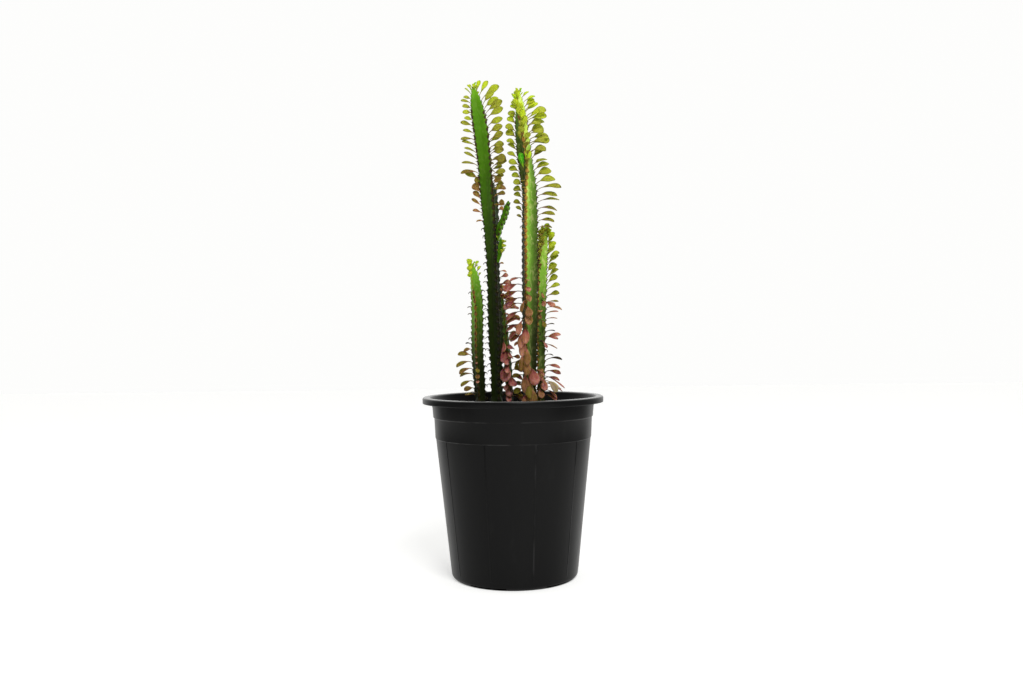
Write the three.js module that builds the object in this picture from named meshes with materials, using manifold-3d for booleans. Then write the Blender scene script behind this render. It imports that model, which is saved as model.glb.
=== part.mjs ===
// A potted three-ridged euphorbia: five leafy stems in a black plastic nursery pot.
// Millimetres, +Z up. The origin is the centre of the pot's footprint, on the surface it stands on.
// A heading is an angle round the vertical: 0 faces the front (-Y) and 90 the right (+X).

import * as THREE from 'three';
import { mergeVertices } from 'three/addons/utils/BufferGeometryUtils.js';
import Module from 'manifold-3d';

const wasm = await Module();
wasm.setup();

// Pot, driving dimensions
const rimRadius = 150;
const rimTop = 297.7;
const rimSkirt = 10.4;
const rimOuterCorner = 3.2;
const rimInnerCorner = 5;
const openingRadius = 136;
const potWall = 2.6;
const neckRadius = 133.8;
const neckFillet = 6;
const bandTop = 280;
const upperBandTaper = 1.2;
const upperStepHeight = 264;
const lowerBandTopRadius = 130.9;
const lowerBandBottomRadius = 129.3;
const lowerStepHeight = 230;
const stepHalfHeight = 1;
const lowerWallTopRadius = 128.3;
const lowerWallBottomRadius = 104.9;
const baseCornerRadius = 8;
const footHeight = 4;
const footRingInnerRadius = 93.5;
const roundSides = 36;

const ribCount = 10;
const ribHeading = 15.5;
const ribWidth = 4;
const ribDepth = 3;
const ribProud = 1.1;
const ribBottom = 13;

const notchCount = 5;
const notchHeading = 46.5;
const notchWidth = 63;
const notchHeight = 3.6;
const notchDepth = 30;

const drainHoleCount = 5;
const drainHoleRadius = 6;
const drainHoleCircle = 62;

// Soil, driving dimensions
const soilTop = 271;
const soilGap = 0.35;
const stemHoleDepth = 60;

// What every stem shares
const stemHoleGap = 0.4;
const neckTop = 279;
const ridgedFrom = 302;
const bodyRingSpacing = 60;
const bodyTaper = 48;
const lowestNode = 292;
const highestNodeBelowTop = 5;
const crowdedTop = 60;
const crowdedSpacing = 0.72;
const smallestLeaf = 8;
const leafRootSunk = 1.6;
const leafClearance = 1.5;
const toothLength = 3.2;
const toothProud = 1.4;
const toothRise = 0.6;
const toothWidth = 3.4;

// How far one leaf differs from the next: shares of its size, and degrees
const lengthVaries = 0.13;
const widthVaries = 0.12;
const riseVaries = 7;
const bendVaries = 12;
const rollVaries = 16;
const asideVaries = 9;
const spacingVaries = 0.1;
const narrowestLeaf = 2.2;

// Stems. path rows: height, x, y. girth rows: height, radius at the ridges.
// turn rows: height, heading of the first ridge; the other two follow at 120 and 240 degrees.
// Each ridge is a list of rows: height, leaf length, leaf width, rise, bend, roll, aside. Between
// the rows the values run evenly, so the rows say how the foliage changes along the ridge. A leaf
// starts at its rise above the horizontal and turns by its bend to its tip, its blade is rolled
// about its own length, and it points aside from its ridge.
const stems = [
  {
    name: 'tall_left_stem',
    seed: 1107,
    neck: 11,
    spacing: 11.4,
    path: [
      [210, -26, 0], [290, -26, 0], [341, -25.6, 0], [394, -25.7, 0], [449, -27.6, 0],
      [504, -28.9, 0], [573, -30.8, 0], [631, -34, 0], [688, -42, 0], [746, -48.8, 0],
      [813, -59.6, 0],
    ],
    girth: [
      [290, 11], [341, 10.9], [394, 14], [449, 13], [504, 12], [573, 14.2], [631, 16.4],
      [660, 14], [688, 12.6], [746, 13.8], [780, 11.6], [800, 7], [813, 2],
    ],
    turn: [[290, -105], [640, -104], [662, -88], [692, -68], [740, -60], [813, -60]],
    ridges: [
      [
        [560, 0, 0, 50, -40, 0, 0], [572, 0, 0, 50, -40, 0, 0], [588, 15, 3.5, 50, -60, -20, 0],
        [612, 22, 4, 62, -30, -30, 0], [630, 20, 9, 62, -20, -50, 0], [645, 21, 12, 64, -20, -60, 0],
        [660, 34, 8, 55, -85, -30, 0], [676, 32, 6, 55, -75, -20, 0], [694, 27, 7, 62, -40, -35, 0],
        [718, 27, 6, 56, -75, -25, 0], [742, 27, 8, 58, -80, -45, 0], [765, 24, 9, 62, -85, -45, 0],
        [785, 22, 6, 62, -80, -30, 0], [800, 15, 5, 66, -40, -30, 0],
      ],
      [
        [560, 0, 0, 50, -40, 20, 30], [600, 0, 0, 50, -40, 20, 30], [618, 12, 6, 45, -30, 40, 30],
        [645, 22, 10, 55, -60, 45, 25], [662, 30, 10, 58, -72, 50, 15], [682, 30, 12, 60, -60, 55, 5],
        [700, 26, 11, 62, -50, 55, 0], [722, 24, 10, 62, -45, 50, 0], [740, 30, 11, 66, -45, 60, 0],
        [762, 34, 12, 74, -46, 62, 0], [784, 36, 13.5, 82, -46, 64, 0], [798, 24, 10, 84, -20, 50, 0],
        [806, 16, 8, 86, -10, 40, 0],
      ],
      [
        [440, 0, 0, 50, -60, 40, -40], [468, 16, 6, 48, -50, 40, -40], [484, 22, 10, 45, -35, 50, -40],
        [500, 11, 5, 40, -40, 30, -40], [514, 17, 7, 50, -70, 40, -40], [524, 0, 0, 50, -60, 40, -30],
        [590, 0, 0, 50, -50, 40, -30], [604, 12, 7, 40, -30, 50, -30], [636, 15, 8, 45, -40, 50, -25],
        [670, 24, 9, 55, -55, 30, 0], [740, 28, 10, 62, -60, 20, 0], [790, 26, 10, 72, -45, 10, 0],
        [806, 14, 7, 80, -15, 0, 0],
      ],
    ],
    shoots: [
      {
        path: [[556, -22.5, 0], [575, -19.5, -1], [598, -9.8, -3], [622, -3.4, -4]],
        girth: [[556, 3.5], [568, 5.8], [604, 6.2], [616, 4.6], [622, 1.2]],
        heading: 10,
        spacing: 8,
        leafLength: 0,
      },
      {
        path: [[520, -22, 0], [534, -18.4, -1], [552, -16.8, -2], [562, -16.6, -2]],
        girth: [[520, 3], [534, 4.6], [552, 4], [562, 1]],
        heading: 40,
        spacing: 9,
        leafLength: 13,
      },
    ],
  },
  {
    name: 'tall_right_stem',
    seed: 2233,
    neck: 11.5,
    spacing: 10.8,
    path: [
      [210, 26.2, -12], [290, 26.2, -12], [340, 26.8, -12], [400, 27.4, -12], [456, 28.1, -12],
      [570, 29.2, -12], [646, 29.4, -12], [704, 23.8, -12], [752, 18.6, -12], [801, 14.6, -12],
    ],
    girth: [
      [290, 11.5], [340, 13], [400, 14.4], [456, 14.9], [570, 15.2], [646, 13.8], [704, 13.2],
      [752, 11], [780, 7.8], [796, 3.8], [801, 1.5],
    ],
    turn: [[290, -20], [640, -20], [668, 0], [692, 8], [735, 0], [770, -18], [801, -24]],
    ridges: [
      [
        [292, 22, 9, 5, -50, 10, 35], [306, 30, 10, 15, -95, 10, 25], [322, 32, 14, 25, -100, 8, 28],
        [345, 28, 12, 20, -100, 5, 20], [372, 26, 9, 15, -100, -5, -5], [400, 28, 10, 20, -105, -10, -5],
        [430, 27, 10, 25, -105, 5, 0], [455, 22, 9, 15, -90, 10, 25], [480, 16, 8, 25, -60, 0, 30],
        [500, 0, 0, 30, -40, 0, 0], [520, 9, 5, 30, -40, 0, 0], [570, 13, 6, 35, -45, 0, 0],
        [590, 15, 7.5, 42, -55, 0, 0], [640, 16, 8, 48, -60, 0, 0], [675, 19, 10, 58, -45, 10, 0],
        [700, 24, 11, 64, -40, 12, 0], [735, 26, 11, 72, -35, -14, -10], [765, 25, 11, 76, -25, 10, 0],
        [788, 20, 10, 82, -12, -10, 0], [797, 15, 8, 86, -6, 0, 0],
      ],
      [
        [300, 0, 0, 40, -60, 40, 0], [320, 14, 5, 30, -50, 40, -40], [345, 12, 5, 30, -40, 40, -40],
        [360, 0, 0, 40, -60, 40, 0], [556, 0, 0, 40, -60, 40, 0], [574, 24, 7, 42, -66, 38, 0],
        [590, 30, 8, 40, -82, 42, 0], [606, 37, 7, 38, -72, 32, 0], [622, 36, 9, 42, -66, 45, 0],
        [640, 37, 11, 44, -56, 58, 0], [662, 33, 11, 46, -52, 58, 0], [690, 29, 9, 46, -48, 52, 0],
        [700, 28, 10, 48, -46, 52, 0], [714, 30, 13, 50, -42, 62, 0], [738, 28, 12, 50, -46, 58, 0],
        [758, 25, 10, 54, -46, 52, 0], [776, 20, 7, 62, -40, 50, 0], [792, 16, 7, 72, -30, 40, 0],
      ],
      [
        [300, 0, 0, 40, -60, -30, 35], [306, 20, 9, 25, -60, -45, 35], [322, 18, 8, 25, -70, -40, 35],
        [338, 16, 7, 25, -50, -40, 35], [352, 15, 7, 25, -45, -40, 35], [366, 0, 0, 40, -60, -40, 35],
        [378, 0, 0, 40, -60, -40, 35], [388, 25, 9, 38, -86, -50, 35], [412, 28, 9, 30, -60, -45, 35],
        [436, 31, 9, 30, -66, -50, 35], [456, 31, 10, 32, -72, -50, 35], [482, 30, 10, 34, -76, -50, 35],
        [496, 18, 7, 36, -60, -40, 30], [504, 0, 0, 40, -60, -40, 20], [566, 0, 0, 40, -60, -40, 20],
        [584, 10, 5, 35, -30, -40, 20], [606, 15, 7, 38, -30, -45, 20], [640, 18, 10, 40, -35, -55, 20],
        [680, 19, 10, 45, -40, -55, 10], [706, 18, 8, 45, -40, -50, 0], [724, 22, 11, 48, -45, -60, 0],
        [744, 21, 10, 50, -45, -55, 10], [764, 18, 8, 60, -40, -45, 10], [790, 15, 8, 76, -20, -30, 0],
      ],
    ],
    shoots: [],
  },
  {
    name: 'short_left_stem',
    seed: 3319,
    neck: 9,
    spacing: 10.4,
    path: [
      [210, -54.5, -6], [290, -54.5, -6], [323, -56, -6], [378, -58.8, -6], [449, -58.4, -6],
      [490, -62, -6], [517, -66, -6],
    ],
    girth: [[290, 9.2], [323, 10.8], [378, 11], [449, 11], [480, 10.2], [502, 7.8], [513, 4], [517, 1.5]],
    turn: [[290, -18], [440, -20], [517, -40]],
    ridges: [
      [
        [294, 0, 0, 20, -40, 0, 0], [306, 0, 0, 20, -40, 0, 0], [322, 14, 6, 20, -60, 0, 15],
        [345, 15, 6.5, 28, -70, 0, 15], [368, 13, 6, 30, -60, 0, 15], [380, 0, 0, 30, -60, 0, 0],
        [480, 0, 0, 60, -20, 0, 0], [496, 10, 6, 62, -20, 0, 0], [506, 13, 7, 66, -10, 0, 0],
      ],
      [
        [294, 0, 0, 40, -60, 30, 0], [480, 0, 0, 60, -30, 30, 0], [494, 9, 5, 60, -20, 20, 0],
        [504, 13, 7, 70, -15, 20, 0],
      ],
      [
        [292, 15, 6, 30, -50, -40, 40], [310, 20, 8, 35, -75, -45, 40], [328, 25, 8, 45, -100, -40, 40],
        [345, 27, 9, 46, -90, -45, 40], [362, 28, 9, 46, -80, -45, 40], [374, 17, 6, 46, -85, -40, 40],
        [384, 11, 3, 46, -70, -40, 40], [390, 0, 0, 50, -60, -40, 0], [478, 0, 0, 60, -40, -40, 0],
        [490, 10, 5, 55, -10, -30, 20], [504, 17, 9, 60, -5, -40, 30],
      ],
    ],
    shoots: [],
  },
  {
    name: 'middle_right_stem',
    seed: 4409,
    neck: 7.5,
    spacing: 9.8,
    path: [
      [210, 46, 14], [290, 46, 14], [323, 46.4, 14], [398, 47.4, 14], [490, 50, 14],
      [521, 50.6, 14], [578, 57, 14],
    ],
    girth: [[290, 7.5], [323, 8], [398, 8.6], [490, 9.6], [521, 10.2], [552, 7.8], [572, 4], [578, 1.5]],
    turn: [[290, -36], [480, -34], [578, -30]],
    ridges: [
      [
        [292, 20, 9, 5, -60, 10, 0], [304, 24, 9, 10, -80, 10, 10], [330, 26, 9, 5, -75, 25, 60],
        [346, 20, 8, -5, -60, 30, 60], [352, 0, 0, 0, -60, 20, 0], [380, 0, 0, 40, -60, 20, 0],
        [392, 22, 9, 30, -60, 30, 20], [402, 0, 0, 40, -60, 20, 0], [432, 10, 5, 40, -50, 10, 0],
        [445, 18, 9, 30, -50, 10, 10], [470, 14, 8, 45, -50, 10, 0], [500, 15, 8, 52, -50, 0, 0],
        [540, 17, 9, 62, -40, 0, 0], [560, 17, 9, 74, -25, 0, 0], [574, 13, 7, 84, -10, 0, 0],
      ],
      [
        [292, 26, 8, 35, -100, 40, 0], [306, 32, 6, 10, -70, 40, 0], [318, 32, 8, 25, -60, 45, 0],
        [332, 28, 8, 42, -76, 45, 0], [346, 30, 8, 44, -70, 45, 0], [358, 31, 3.5, 40, -82, 30, 0],
        [368, 0, 0, 40, -60, 40, 0], [380, 0, 0, 40, -60, 40, 0], [390, 32, 8, 22, -36, 45, 0],
        [400, 20, 4, 35, -60, 30, 0], [408, 14, 2.5, 40, -60, 20, 0], [430, 22, 2.5, 36, -70, 10, 0],
        [442, 28, 7, 38, -66, 40, 0], [452, 18, 3, 34, -40, 30, 0], [464, 20, 7, 42, -46, 45, 0],
        [486, 22, 9, 48, -44, 52, 0], [506, 26, 11, 58, -36, 58, 0], [530, 25, 10.5, 62, -32, 58, 0],
        [552, 22, 10, 66, -30, 52, 0], [570, 16, 8, 78, -20, 40, 0],
      ],
      [
        [300, 18, 6, 30, -60, -30, 0], [330, 20, 7, 30, -60, -30, 0], [360, 0, 0, 40, -60, -30, 0],
        [430, 0, 0, 40, -60, -30, 0], [450, 14, 6, 40, -50, -30, 0], [500, 20, 8, 50, -45, -30, 0],
        [550, 18, 8, 62, -30, -20, 0], [574, 12, 6, 84, -10, 0, 0],
      ],
    ],
    shoots: [],
  },
  {
    name: 'thin_middle_stem',
    seed: 5521,
    neck: 6.5,
    spacing: 11,
    path: [
      [210, -5, 7], [290, -5, 7], [340, -6.6, 10], [407, -12.2, 19], [458, -17.4, 28],
      [480, -20.4, 32],
    ],
    girth: [[290, 6.6], [340, 7.4], [407, 7.2], [450, 6.4], [470, 4.6], [480, 1.5]],
    turn: [[290, 8], [480, 20]],
    ridges: [
      [
        [292, 20, 10, 10, -80, -15, -20], [306, 26, 12, 10, -95, -15, -15], [318, 28, 12, 10, -95, -15, -10],
        [330, 31, 18, 30, -110, -10, -10], [344, 24, 13, 20, -85, -15, 10], [358, 24, 13, 15, -70, -20, 0],
        [378, 20, 12, 15, -75, -20, -35], [392, 20, 12, 15, -75, -20, -35], [404, 14, 7, 20, -60, -20, 0],
        [440, 14, 7, 35, -60, 10, 0], [470, 12, 7, 65, -30, 0, 0],
      ],
      [
        [292, 16, 8, 25, -60, 45, -20], [330, 16, 8, 25, -60, 50, -20], [352, 22, 10, 25, -70, 50, -30],
        [376, 0, 0, 30, -60, 40, -30], [398, 12, 5, 25, -60, 55, -30], [410, 20, 10, 20, -60, 55, -30],
        [424, 22, 9, 20, -50, 50, -30], [440, 22, 10, 30, -60, 50, -30], [456, 20, 10, 35, -60, 50, -30],
        [470, 16, 8, 60, -30, 30, 0],
      ],
      [
        [292, 0, 0, 25, -60, -40, 0], [310, 12, 6, 25, -60, -40, 0], [380, 13, 6, 30, -60, -40, 0],
        [440, 13, 6, 40, -60, -40, 0], [470, 12, 6, 65, -30, -20, 0],
      ],
    ],
    shoots: [],
  },
];

// Numbers between the rows of a table, straight or on a smooth curve
function rowBelow(rows, at) {
  let i = 0;
  while (i < rows.length - 2 && at > rows[i + 1][0]) i += 1;
  return i;
}

function straight(rows, at, column) {
  const i = rowBelow(rows, at);
  const t = THREE.MathUtils.clamp((at - rows[i][0]) / (rows[i + 1][0] - rows[i][0]), 0, 1);
  return rows[i][column] + (rows[i + 1][column] - rows[i][column]) * t;
}

function smooth(rows, at, column) {
  const i = rowBelow(rows, at);
  const span = rows[i + 1][0] - rows[i][0];
  const t = THREE.MathUtils.clamp((at - rows[i][0]) / span, 0, 1);
  const slope = (k) => {
    const low = Math.max(k - 1, 0);
    const high = Math.min(k + 1, rows.length - 1);
    return (rows[high][column] - rows[low][column]) / (rows[high][0] - rows[low][0]);
  };
  const t2 = t * t;
  const t3 = t2 * t;
  return rows[i][column] * (2 * t3 - 3 * t2 + 1) + slope(i) * span * (t3 - 2 * t2 + t)
    + rows[i + 1][column] * (3 * t2 - 2 * t3) + slope(i + 1) * span * (t3 - t2);
}

// Repeatable draws between -1 and 1
function draws(seed) {
  let state = seed;
  return () => {
    state = (state * 16807) % 2147483647;
    return (state / 2147483647) * 2 - 1;
  };
}

function outward(headingDegrees) {
  const heading = THREE.MathUtils.degToRad(headingDegrees);
  return new THREE.Vector3(Math.sin(heading), -Math.cos(heading), 0);
}

// Geometry and solids
function solidFrom(geometry) {
  const bare = geometry.clone();
  bare.deleteAttribute('normal');
  bare.deleteAttribute('uv');
  const merged = mergeVertices(bare, 1e-4);
  const corners = merged.attributes.position.array;
  const triangles = [];
  for (let i = 0; i < merged.index.count; i += 3) {
    const [a, b, c] = [0, 1, 2].map((k) => merged.index.getX(i + k));
    if (a !== b && b !== c && c !== a) triangles.push(a, b, c);
  }
  return new wasm.Manifold(new wasm.Mesh({
    numProp: 3,
    vertProperties: new Float32Array(corners),
    triVerts: new Uint32Array(triangles),
  }));
}

function geometryFrom(solid) {
  const mesh = solid.getMesh();
  const geometry = new THREE.BufferGeometry();
  geometry.setAttribute('position', new THREE.BufferAttribute(new Float32Array(mesh.vertProperties), 3));
  geometry.setIndex(new THREE.BufferAttribute(new Uint32Array(mesh.triVerts), 1));
  return geometry;
}

// A skin through a row of rings, each running anticlockwise as seen from the far end.
// A ring of one point closes that end.
function loft(rings) {
  const positions = [];
  const firsts = [];
  for (const ring of rings) {
    firsts.push(positions.length / 3);
    for (const point of ring) positions.push(point.x, point.y, point.z);
  }
  const triangles = [];
  for (let k = 0; k < rings.length - 1; k += 1) {
    const low = firsts[k];
    const high = firsts[k + 1];
    const lowCount = rings[k].length;
    const highCount = rings[k + 1].length;
    for (let i = 0; i < Math.max(lowCount, highCount); i += 1) {
      const next = i + 1;
      if (lowCount > 1) triangles.push(low + i, low + (next % lowCount), high + (next % highCount));
      if (highCount > 1) triangles.push(low + (i % lowCount), high + (next % highCount), high + i);
    }
  }
  const last = rings.length - 1;
  for (let i = 1; i < rings[0].length - 1; i += 1) triangles.push(0, i + 1, i);
  for (let i = 1; i < rings[last].length - 1; i += 1) {
    triangles.push(firsts[last], firsts[last] + i, firsts[last] + i + 1);
  }
  const geometry = new THREE.BufferGeometry();
  geometry.setAttribute('position', new THREE.BufferAttribute(new Float32Array(positions), 3));
  geometry.setIndex(triangles);
  return geometry;
}

// A solid of revolution about Z from rows of radius and height, listed from the bottom outwards
function turned(profile, sides) {
  const points = profile.map(([radius, height]) => new THREE.Vector2(radius, height));
  return new THREE.LatheGeometry(points, sides).rotateX(Math.PI / 2);
}

function arc(centreRadius, centreHeight, radius, fromDegrees, toDegrees, steps) {
  const points = [];
  for (let i = 0; i <= steps; i += 1) {
    const angle = THREE.MathUtils.degToRad(fromDegrees + ((toDegrees - fromDegrees) * i) / steps);
    points.push([centreRadius + radius * Math.cos(angle), centreHeight + radius * Math.sin(angle)]);
  }
  return points;
}

// The one body of a fused solid: loose scraps and sealed hollows are dropped
function mainBody(solid) {
  return solid.decompose().reduce((a, b) => (b.volume() > a.volume() ? b : a));
}

// Pot
function potProfile() {
  const rimUnderside = rimTop - potWall;
  const skirtBottom = rimTop - rimSkirt;
  const baseCentre = lowerWallBottomRadius - baseCornerRadius;
  const lipCentre = openingRadius + rimInnerCorner;
  return [
    [0, footHeight],
    [footRingInnerRadius - footHeight, footHeight],
    [footRingInnerRadius, 0],
    ...arc(baseCentre, baseCornerRadius, baseCornerRadius, -90, -6, 2),
    [lowerWallTopRadius, lowerStepHeight - stepHalfHeight],
    [lowerBandBottomRadius, lowerStepHeight + stepHalfHeight],
    [lowerBandTopRadius, upperStepHeight - stepHalfHeight],
    [neckRadius - upperBandTaper, upperStepHeight + stepHalfHeight],
    [neckRadius, bandTop],
    [neckRadius + neckFillet * 0.3, skirtBottom],
    [neckRadius + neckFillet, rimUnderside],
    [rimRadius - potWall, rimUnderside],
    [rimRadius - potWall, skirtBottom],
    [rimRadius, skirtBottom],
    ...arc(rimRadius - rimOuterCorner, rimTop - rimOuterCorner, rimOuterCorner, 0, 90, 1),
    ...arc(lipCentre, rimTop - rimInnerCorner, rimInnerCorner, 90, 180, 2),
    [neckRadius + neckFillet * 0.3 - potWall, skirtBottom],
    [neckRadius - potWall, bandTop],
    [neckRadius - upperBandTaper - potWall, upperStepHeight + stepHalfHeight],
    [lowerBandTopRadius - potWall, upperStepHeight - stepHalfHeight],
    [lowerBandBottomRadius - potWall, lowerStepHeight + stepHalfHeight],
    ...lowerInside(0),
    [0, footHeight + potWall],
  ];
}

// The inside of the pot from the lower step down to the floor, moved in by a gap
function lowerInside(gap) {
  const corner = baseCornerRadius - potWall;
  const cornerCentre = lowerWallBottomRadius - baseCornerRadius;
  const floorTop = footHeight + potWall + gap;
  return [
    [lowerWallTopRadius - potWall - gap, lowerStepHeight - stepHalfHeight],
    [cornerCentre + corner - gap, floorTop + corner],
    [cornerCentre + corner * 0.6 - gap, floorTop + corner * 0.25],
    [cornerCentre - gap, floorTop],
  ];
}

// Ribs stand out of the lower wall, from its foot to the lower step
function ribBlocks() {
  const top = lowerStepHeight - stepHalfHeight / 2;
  const taper = Math.atan2(lowerWallTopRadius - lowerWallBottomRadius, lowerStepHeight - baseCornerRadius);
  const middleRadius = (lowerWallTopRadius + lowerWallBottomRadius) / 2;
  const blocks = [];
  for (let i = 0; i < ribCount; i += 1) {
    const block = new THREE.BoxGeometry(ribWidth, ribDepth, (top - ribBottom) / Math.cos(taper));
    block.translate(0, ribDepth / 2 - ribProud, 0);
    block.rotateX(taper);
    block.translate(0, -middleRadius, (top + ribBottom) / 2);
    block.rotateZ(THREE.MathUtils.degToRad(ribHeading + (360 / ribCount) * i));
    blocks.push(block);
  }
  return blocks;
}

// Wide low notches between the feet let the water out from under the pot
function notchBlocks() {
  const blocks = [];
  for (let i = 0; i < notchCount; i += 1) {
    const block = new THREE.BoxGeometry(notchWidth, notchDepth, notchHeight * 2);
    block.translate(0, -(footRingInnerRadius - footHeight - 6 + notchDepth / 2), 0);
    block.rotateZ(THREE.MathUtils.degToRad(notchHeading + (360 / notchCount) * i));
    blocks.push(block);
  }
  return blocks;
}

function drainHoles() {
  const holes = [];
  for (let i = 0; i < drainHoleCount; i += 1) {
    const hole = new THREE.CylinderGeometry(drainHoleRadius, drainHoleRadius, 12, 8);
    hole.rotateX(Math.PI / 2);
    hole.translate(0, -drainHoleCircle, footHeight);
    hole.rotateZ(THREE.MathUtils.degToRad(notchHeading + (360 / drainHoleCount) * i));
    holes.push(hole);
  }
  return holes;
}

function makePot() {
  let solid = solidFrom(turned(potProfile(), roundSides));
  for (const rib of ribBlocks()) solid = solid.add(solidFrom(rib));
  for (const notch of notchBlocks()) solid = solid.subtract(solidFrom(notch));
  for (const hole of drainHoles()) solid = solid.subtract(solidFrom(hole));
  return mainBody(solid);
}

// Soil: it fills the pot, its top is uneven, and each stem stands in a plain round hole
function soilHeightAt(x, y) {
  return soilTop + 1.5 * Math.sin(0.07 * x + 1.3) * Math.cos(0.06 * y - 0.7);
}

function makeSoil() {
  const edgeRadius = lowerBandTopRadius - potWall - soilGap;
  const profile = [
    [0, footHeight + potWall + soilGap],
    ...lowerInside(soilGap).reverse(),
    [edgeRadius, upperStepHeight - stepHalfHeight],
    [edgeRadius, soilTop - 3],
    [edgeRadius - 8, soilTop],
    [edgeRadius / 2, soilTop],
    [0, soilTop],
  ];
  const geometry = turned(profile, roundSides);
  const place = geometry.attributes.position;
  for (let i = 0; i < place.count; i += 1) {
    if (place.getZ(i) > soilTop - 1) place.setZ(i, soilHeightAt(place.getX(i), place.getY(i)));
  }
  let solid = solidFrom(geometry);
  const holeSides = 10;
  const holeHeight = stemHoleDepth + 20;
  for (const stem of stems) {
    const radius = (stem.neck + stemHoleGap) / Math.cos(Math.PI / holeSides);
    const hole = new THREE.CylinderGeometry(radius, radius, holeHeight, holeSides);
    hole.rotateX(Math.PI / 2);
    const [bottom, x, y] = stem.path[0];
    hole.translate(x, y, bottom - soilGap + holeHeight / 2);
    solid = solid.subtract(solidFrom(hole));
  }
  return mainBody(solid);
}

// Stem body: three ridges with flat faces between them, and a round neck in the soil
const sectionCorners = [[-9, 0.97], [9, 0.97], [60, 0.47]];

function centreAt(stem, height) {
  return new THREE.Vector3(smooth(stem.path, height, 1), smooth(stem.path, height, 2), height);
}

function bodyRing(stem, height) {
  const centre = centreAt(stem, height);
  const girth = smooth(stem.girth, height, 1);
  const ridged = THREE.MathUtils.smoothstep(height, neckTop, ridgedFrom);
  const ring = [];
  for (let ridge = 0; ridge < 3; ridge += 1) {
    for (const [aside, share] of sectionCorners) {
      const radius = stem.neck + (girth * share - stem.neck) * ridged;
      const heading = straight(stem.turn, height, 1) + ridge * 120 + aside;
      ring.push(centre.clone().addScaledVector(outward(heading), radius));
    }
  }
  return ring;
}

function ringHeights(stem) {
  const bottom = stem.path[0][0];
  const top = stem.path.at(-1)[0];
  const heights = [bottom, neckTop, (neckTop + ridgedFrom) / 2, ridgedFrom];
  const taperFrom = top - bodyTaper;
  const steps = Math.round((taperFrom - ridgedFrom) / bodyRingSpacing);
  for (let i = 1; i <= steps; i += 1) heights.push(ridgedFrom + ((taperFrom - ridgedFrom) * i) / steps);
  for (const below of [30, 17, 7, 0]) heights.push(top - below);
  return heights;
}

function bodyLoft(stem) {
  return loft(ringHeights(stem).map((height) => bodyRing(stem, height)));
}

// Leaf: a stalk that widens into a spoon-shaped blade with a keel beneath.
// Rows: share of the length, share of the half width, thickness in millimetres.
const leafStations = [[0, 0, 1.6], [0.3, 0.2, 1.3], [0.58, 1, 1.3], [0.9, 0.84, 1.1]];
const smallLeafStations = [[0, 0, 1.6], [0.3, 0.2, 1.3], [0.72, 1, 1.2]];
const smallLeafLength = 19;
const stalkHalfWidth = 0.75;
const leafSteps = 10;

function leafPoint(leaf, share) {
  const point = leaf.root.clone();
  const steps = Math.max(1, Math.round(share * leafSteps));
  for (let i = 0; i < steps; i += 1) {
    const along = ((i + 0.5) / steps) * share;
    point.addScaledVector(leafDirection(leaf, along), (leaf.length * share) / steps);
  }
  return point;
}

function leafDirection(leaf, share) {
  const rise = THREE.MathUtils.degToRad(leaf.rise + leaf.bend * share);
  return outward(leaf.heading).multiplyScalar(Math.cos(rise)).setZ(Math.sin(rise));
}

function leafRing(leaf, share, widthShare, thickness) {
  const along = leafDirection(leaf, share);
  const flatSide = new THREE.Vector3(0, 0, 1).cross(outward(leaf.heading));
  const roll = THREE.MathUtils.degToRad(leaf.roll) * Math.min(1, share * 2.5);
  const side = flatSide.clone().applyAxisAngle(along, roll);
  const up = along.clone().cross(side);
  const half = Math.max(stalkHalfWidth, (widthShare * leaf.width) / 2);
  const centre = leafPoint(leaf, share);
  return [
    centre.clone().addScaledVector(side, half).addScaledVector(up, 0.4 * thickness),
    centre.clone().addScaledVector(side, -half).addScaledVector(up, 0.4 * thickness),
    centre.clone().addScaledVector(up, -0.6 * thickness),
  ];
}

function leafLoft(leaf) {
  const stations = leaf.length < smallLeafLength ? smallLeafStations : leafStations;
  const rings = stations.map(([share, width, thickness]) => leafRing(leaf, share, width, thickness));
  rings.push([leafPoint(leaf, 1)]);
  return loft(rings);
}

// Tooth: the small horn with its spine where a ridge carries no leaf
function toothLoft(place) {
  const along = outward(place.heading);
  const side = new THREE.Vector3(0, 0, 1).cross(along);
  const base = place.root.clone();
  const half = toothWidth / 2;
  const tip = place.root.clone().addScaledVector(along, toothLength + toothProud);
  tip.z += toothRise;
  return loft([
    [
      base.clone().addScaledVector(side, half * 0.5),
      base.clone().setZ(base.z + half),
      base.clone().addScaledVector(side, -half * 0.5).setZ(base.z - half),
    ],
    [tip],
  ]);
}

// Where leaves and teeth grow: up each ridge, a spacing apart, each ridge a third of a step higher
function nodesOf(stem) {
  const draw = draws(stem.seed);
  const top = stem.path.at(-1)[0];
  const nodes = [];
  for (let ridge = 0; ridge < 3; ridge += 1) {
    let height = lowestNode + (stem.spacing * ridge) / 3;
    while (height < top - highestNodeBelowTop) {
      const vary = [draw(), draw(), draw(), draw(), draw(), draw()];
      nodes.push(nodeAt(stem, ridge, height, vary));
      const closing = height > top - crowdedTop ? crowdedSpacing : 1;
      height += stem.spacing * closing * (1 + spacingVaries * vary[5]);
    }
  }
  return nodes;
}

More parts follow.
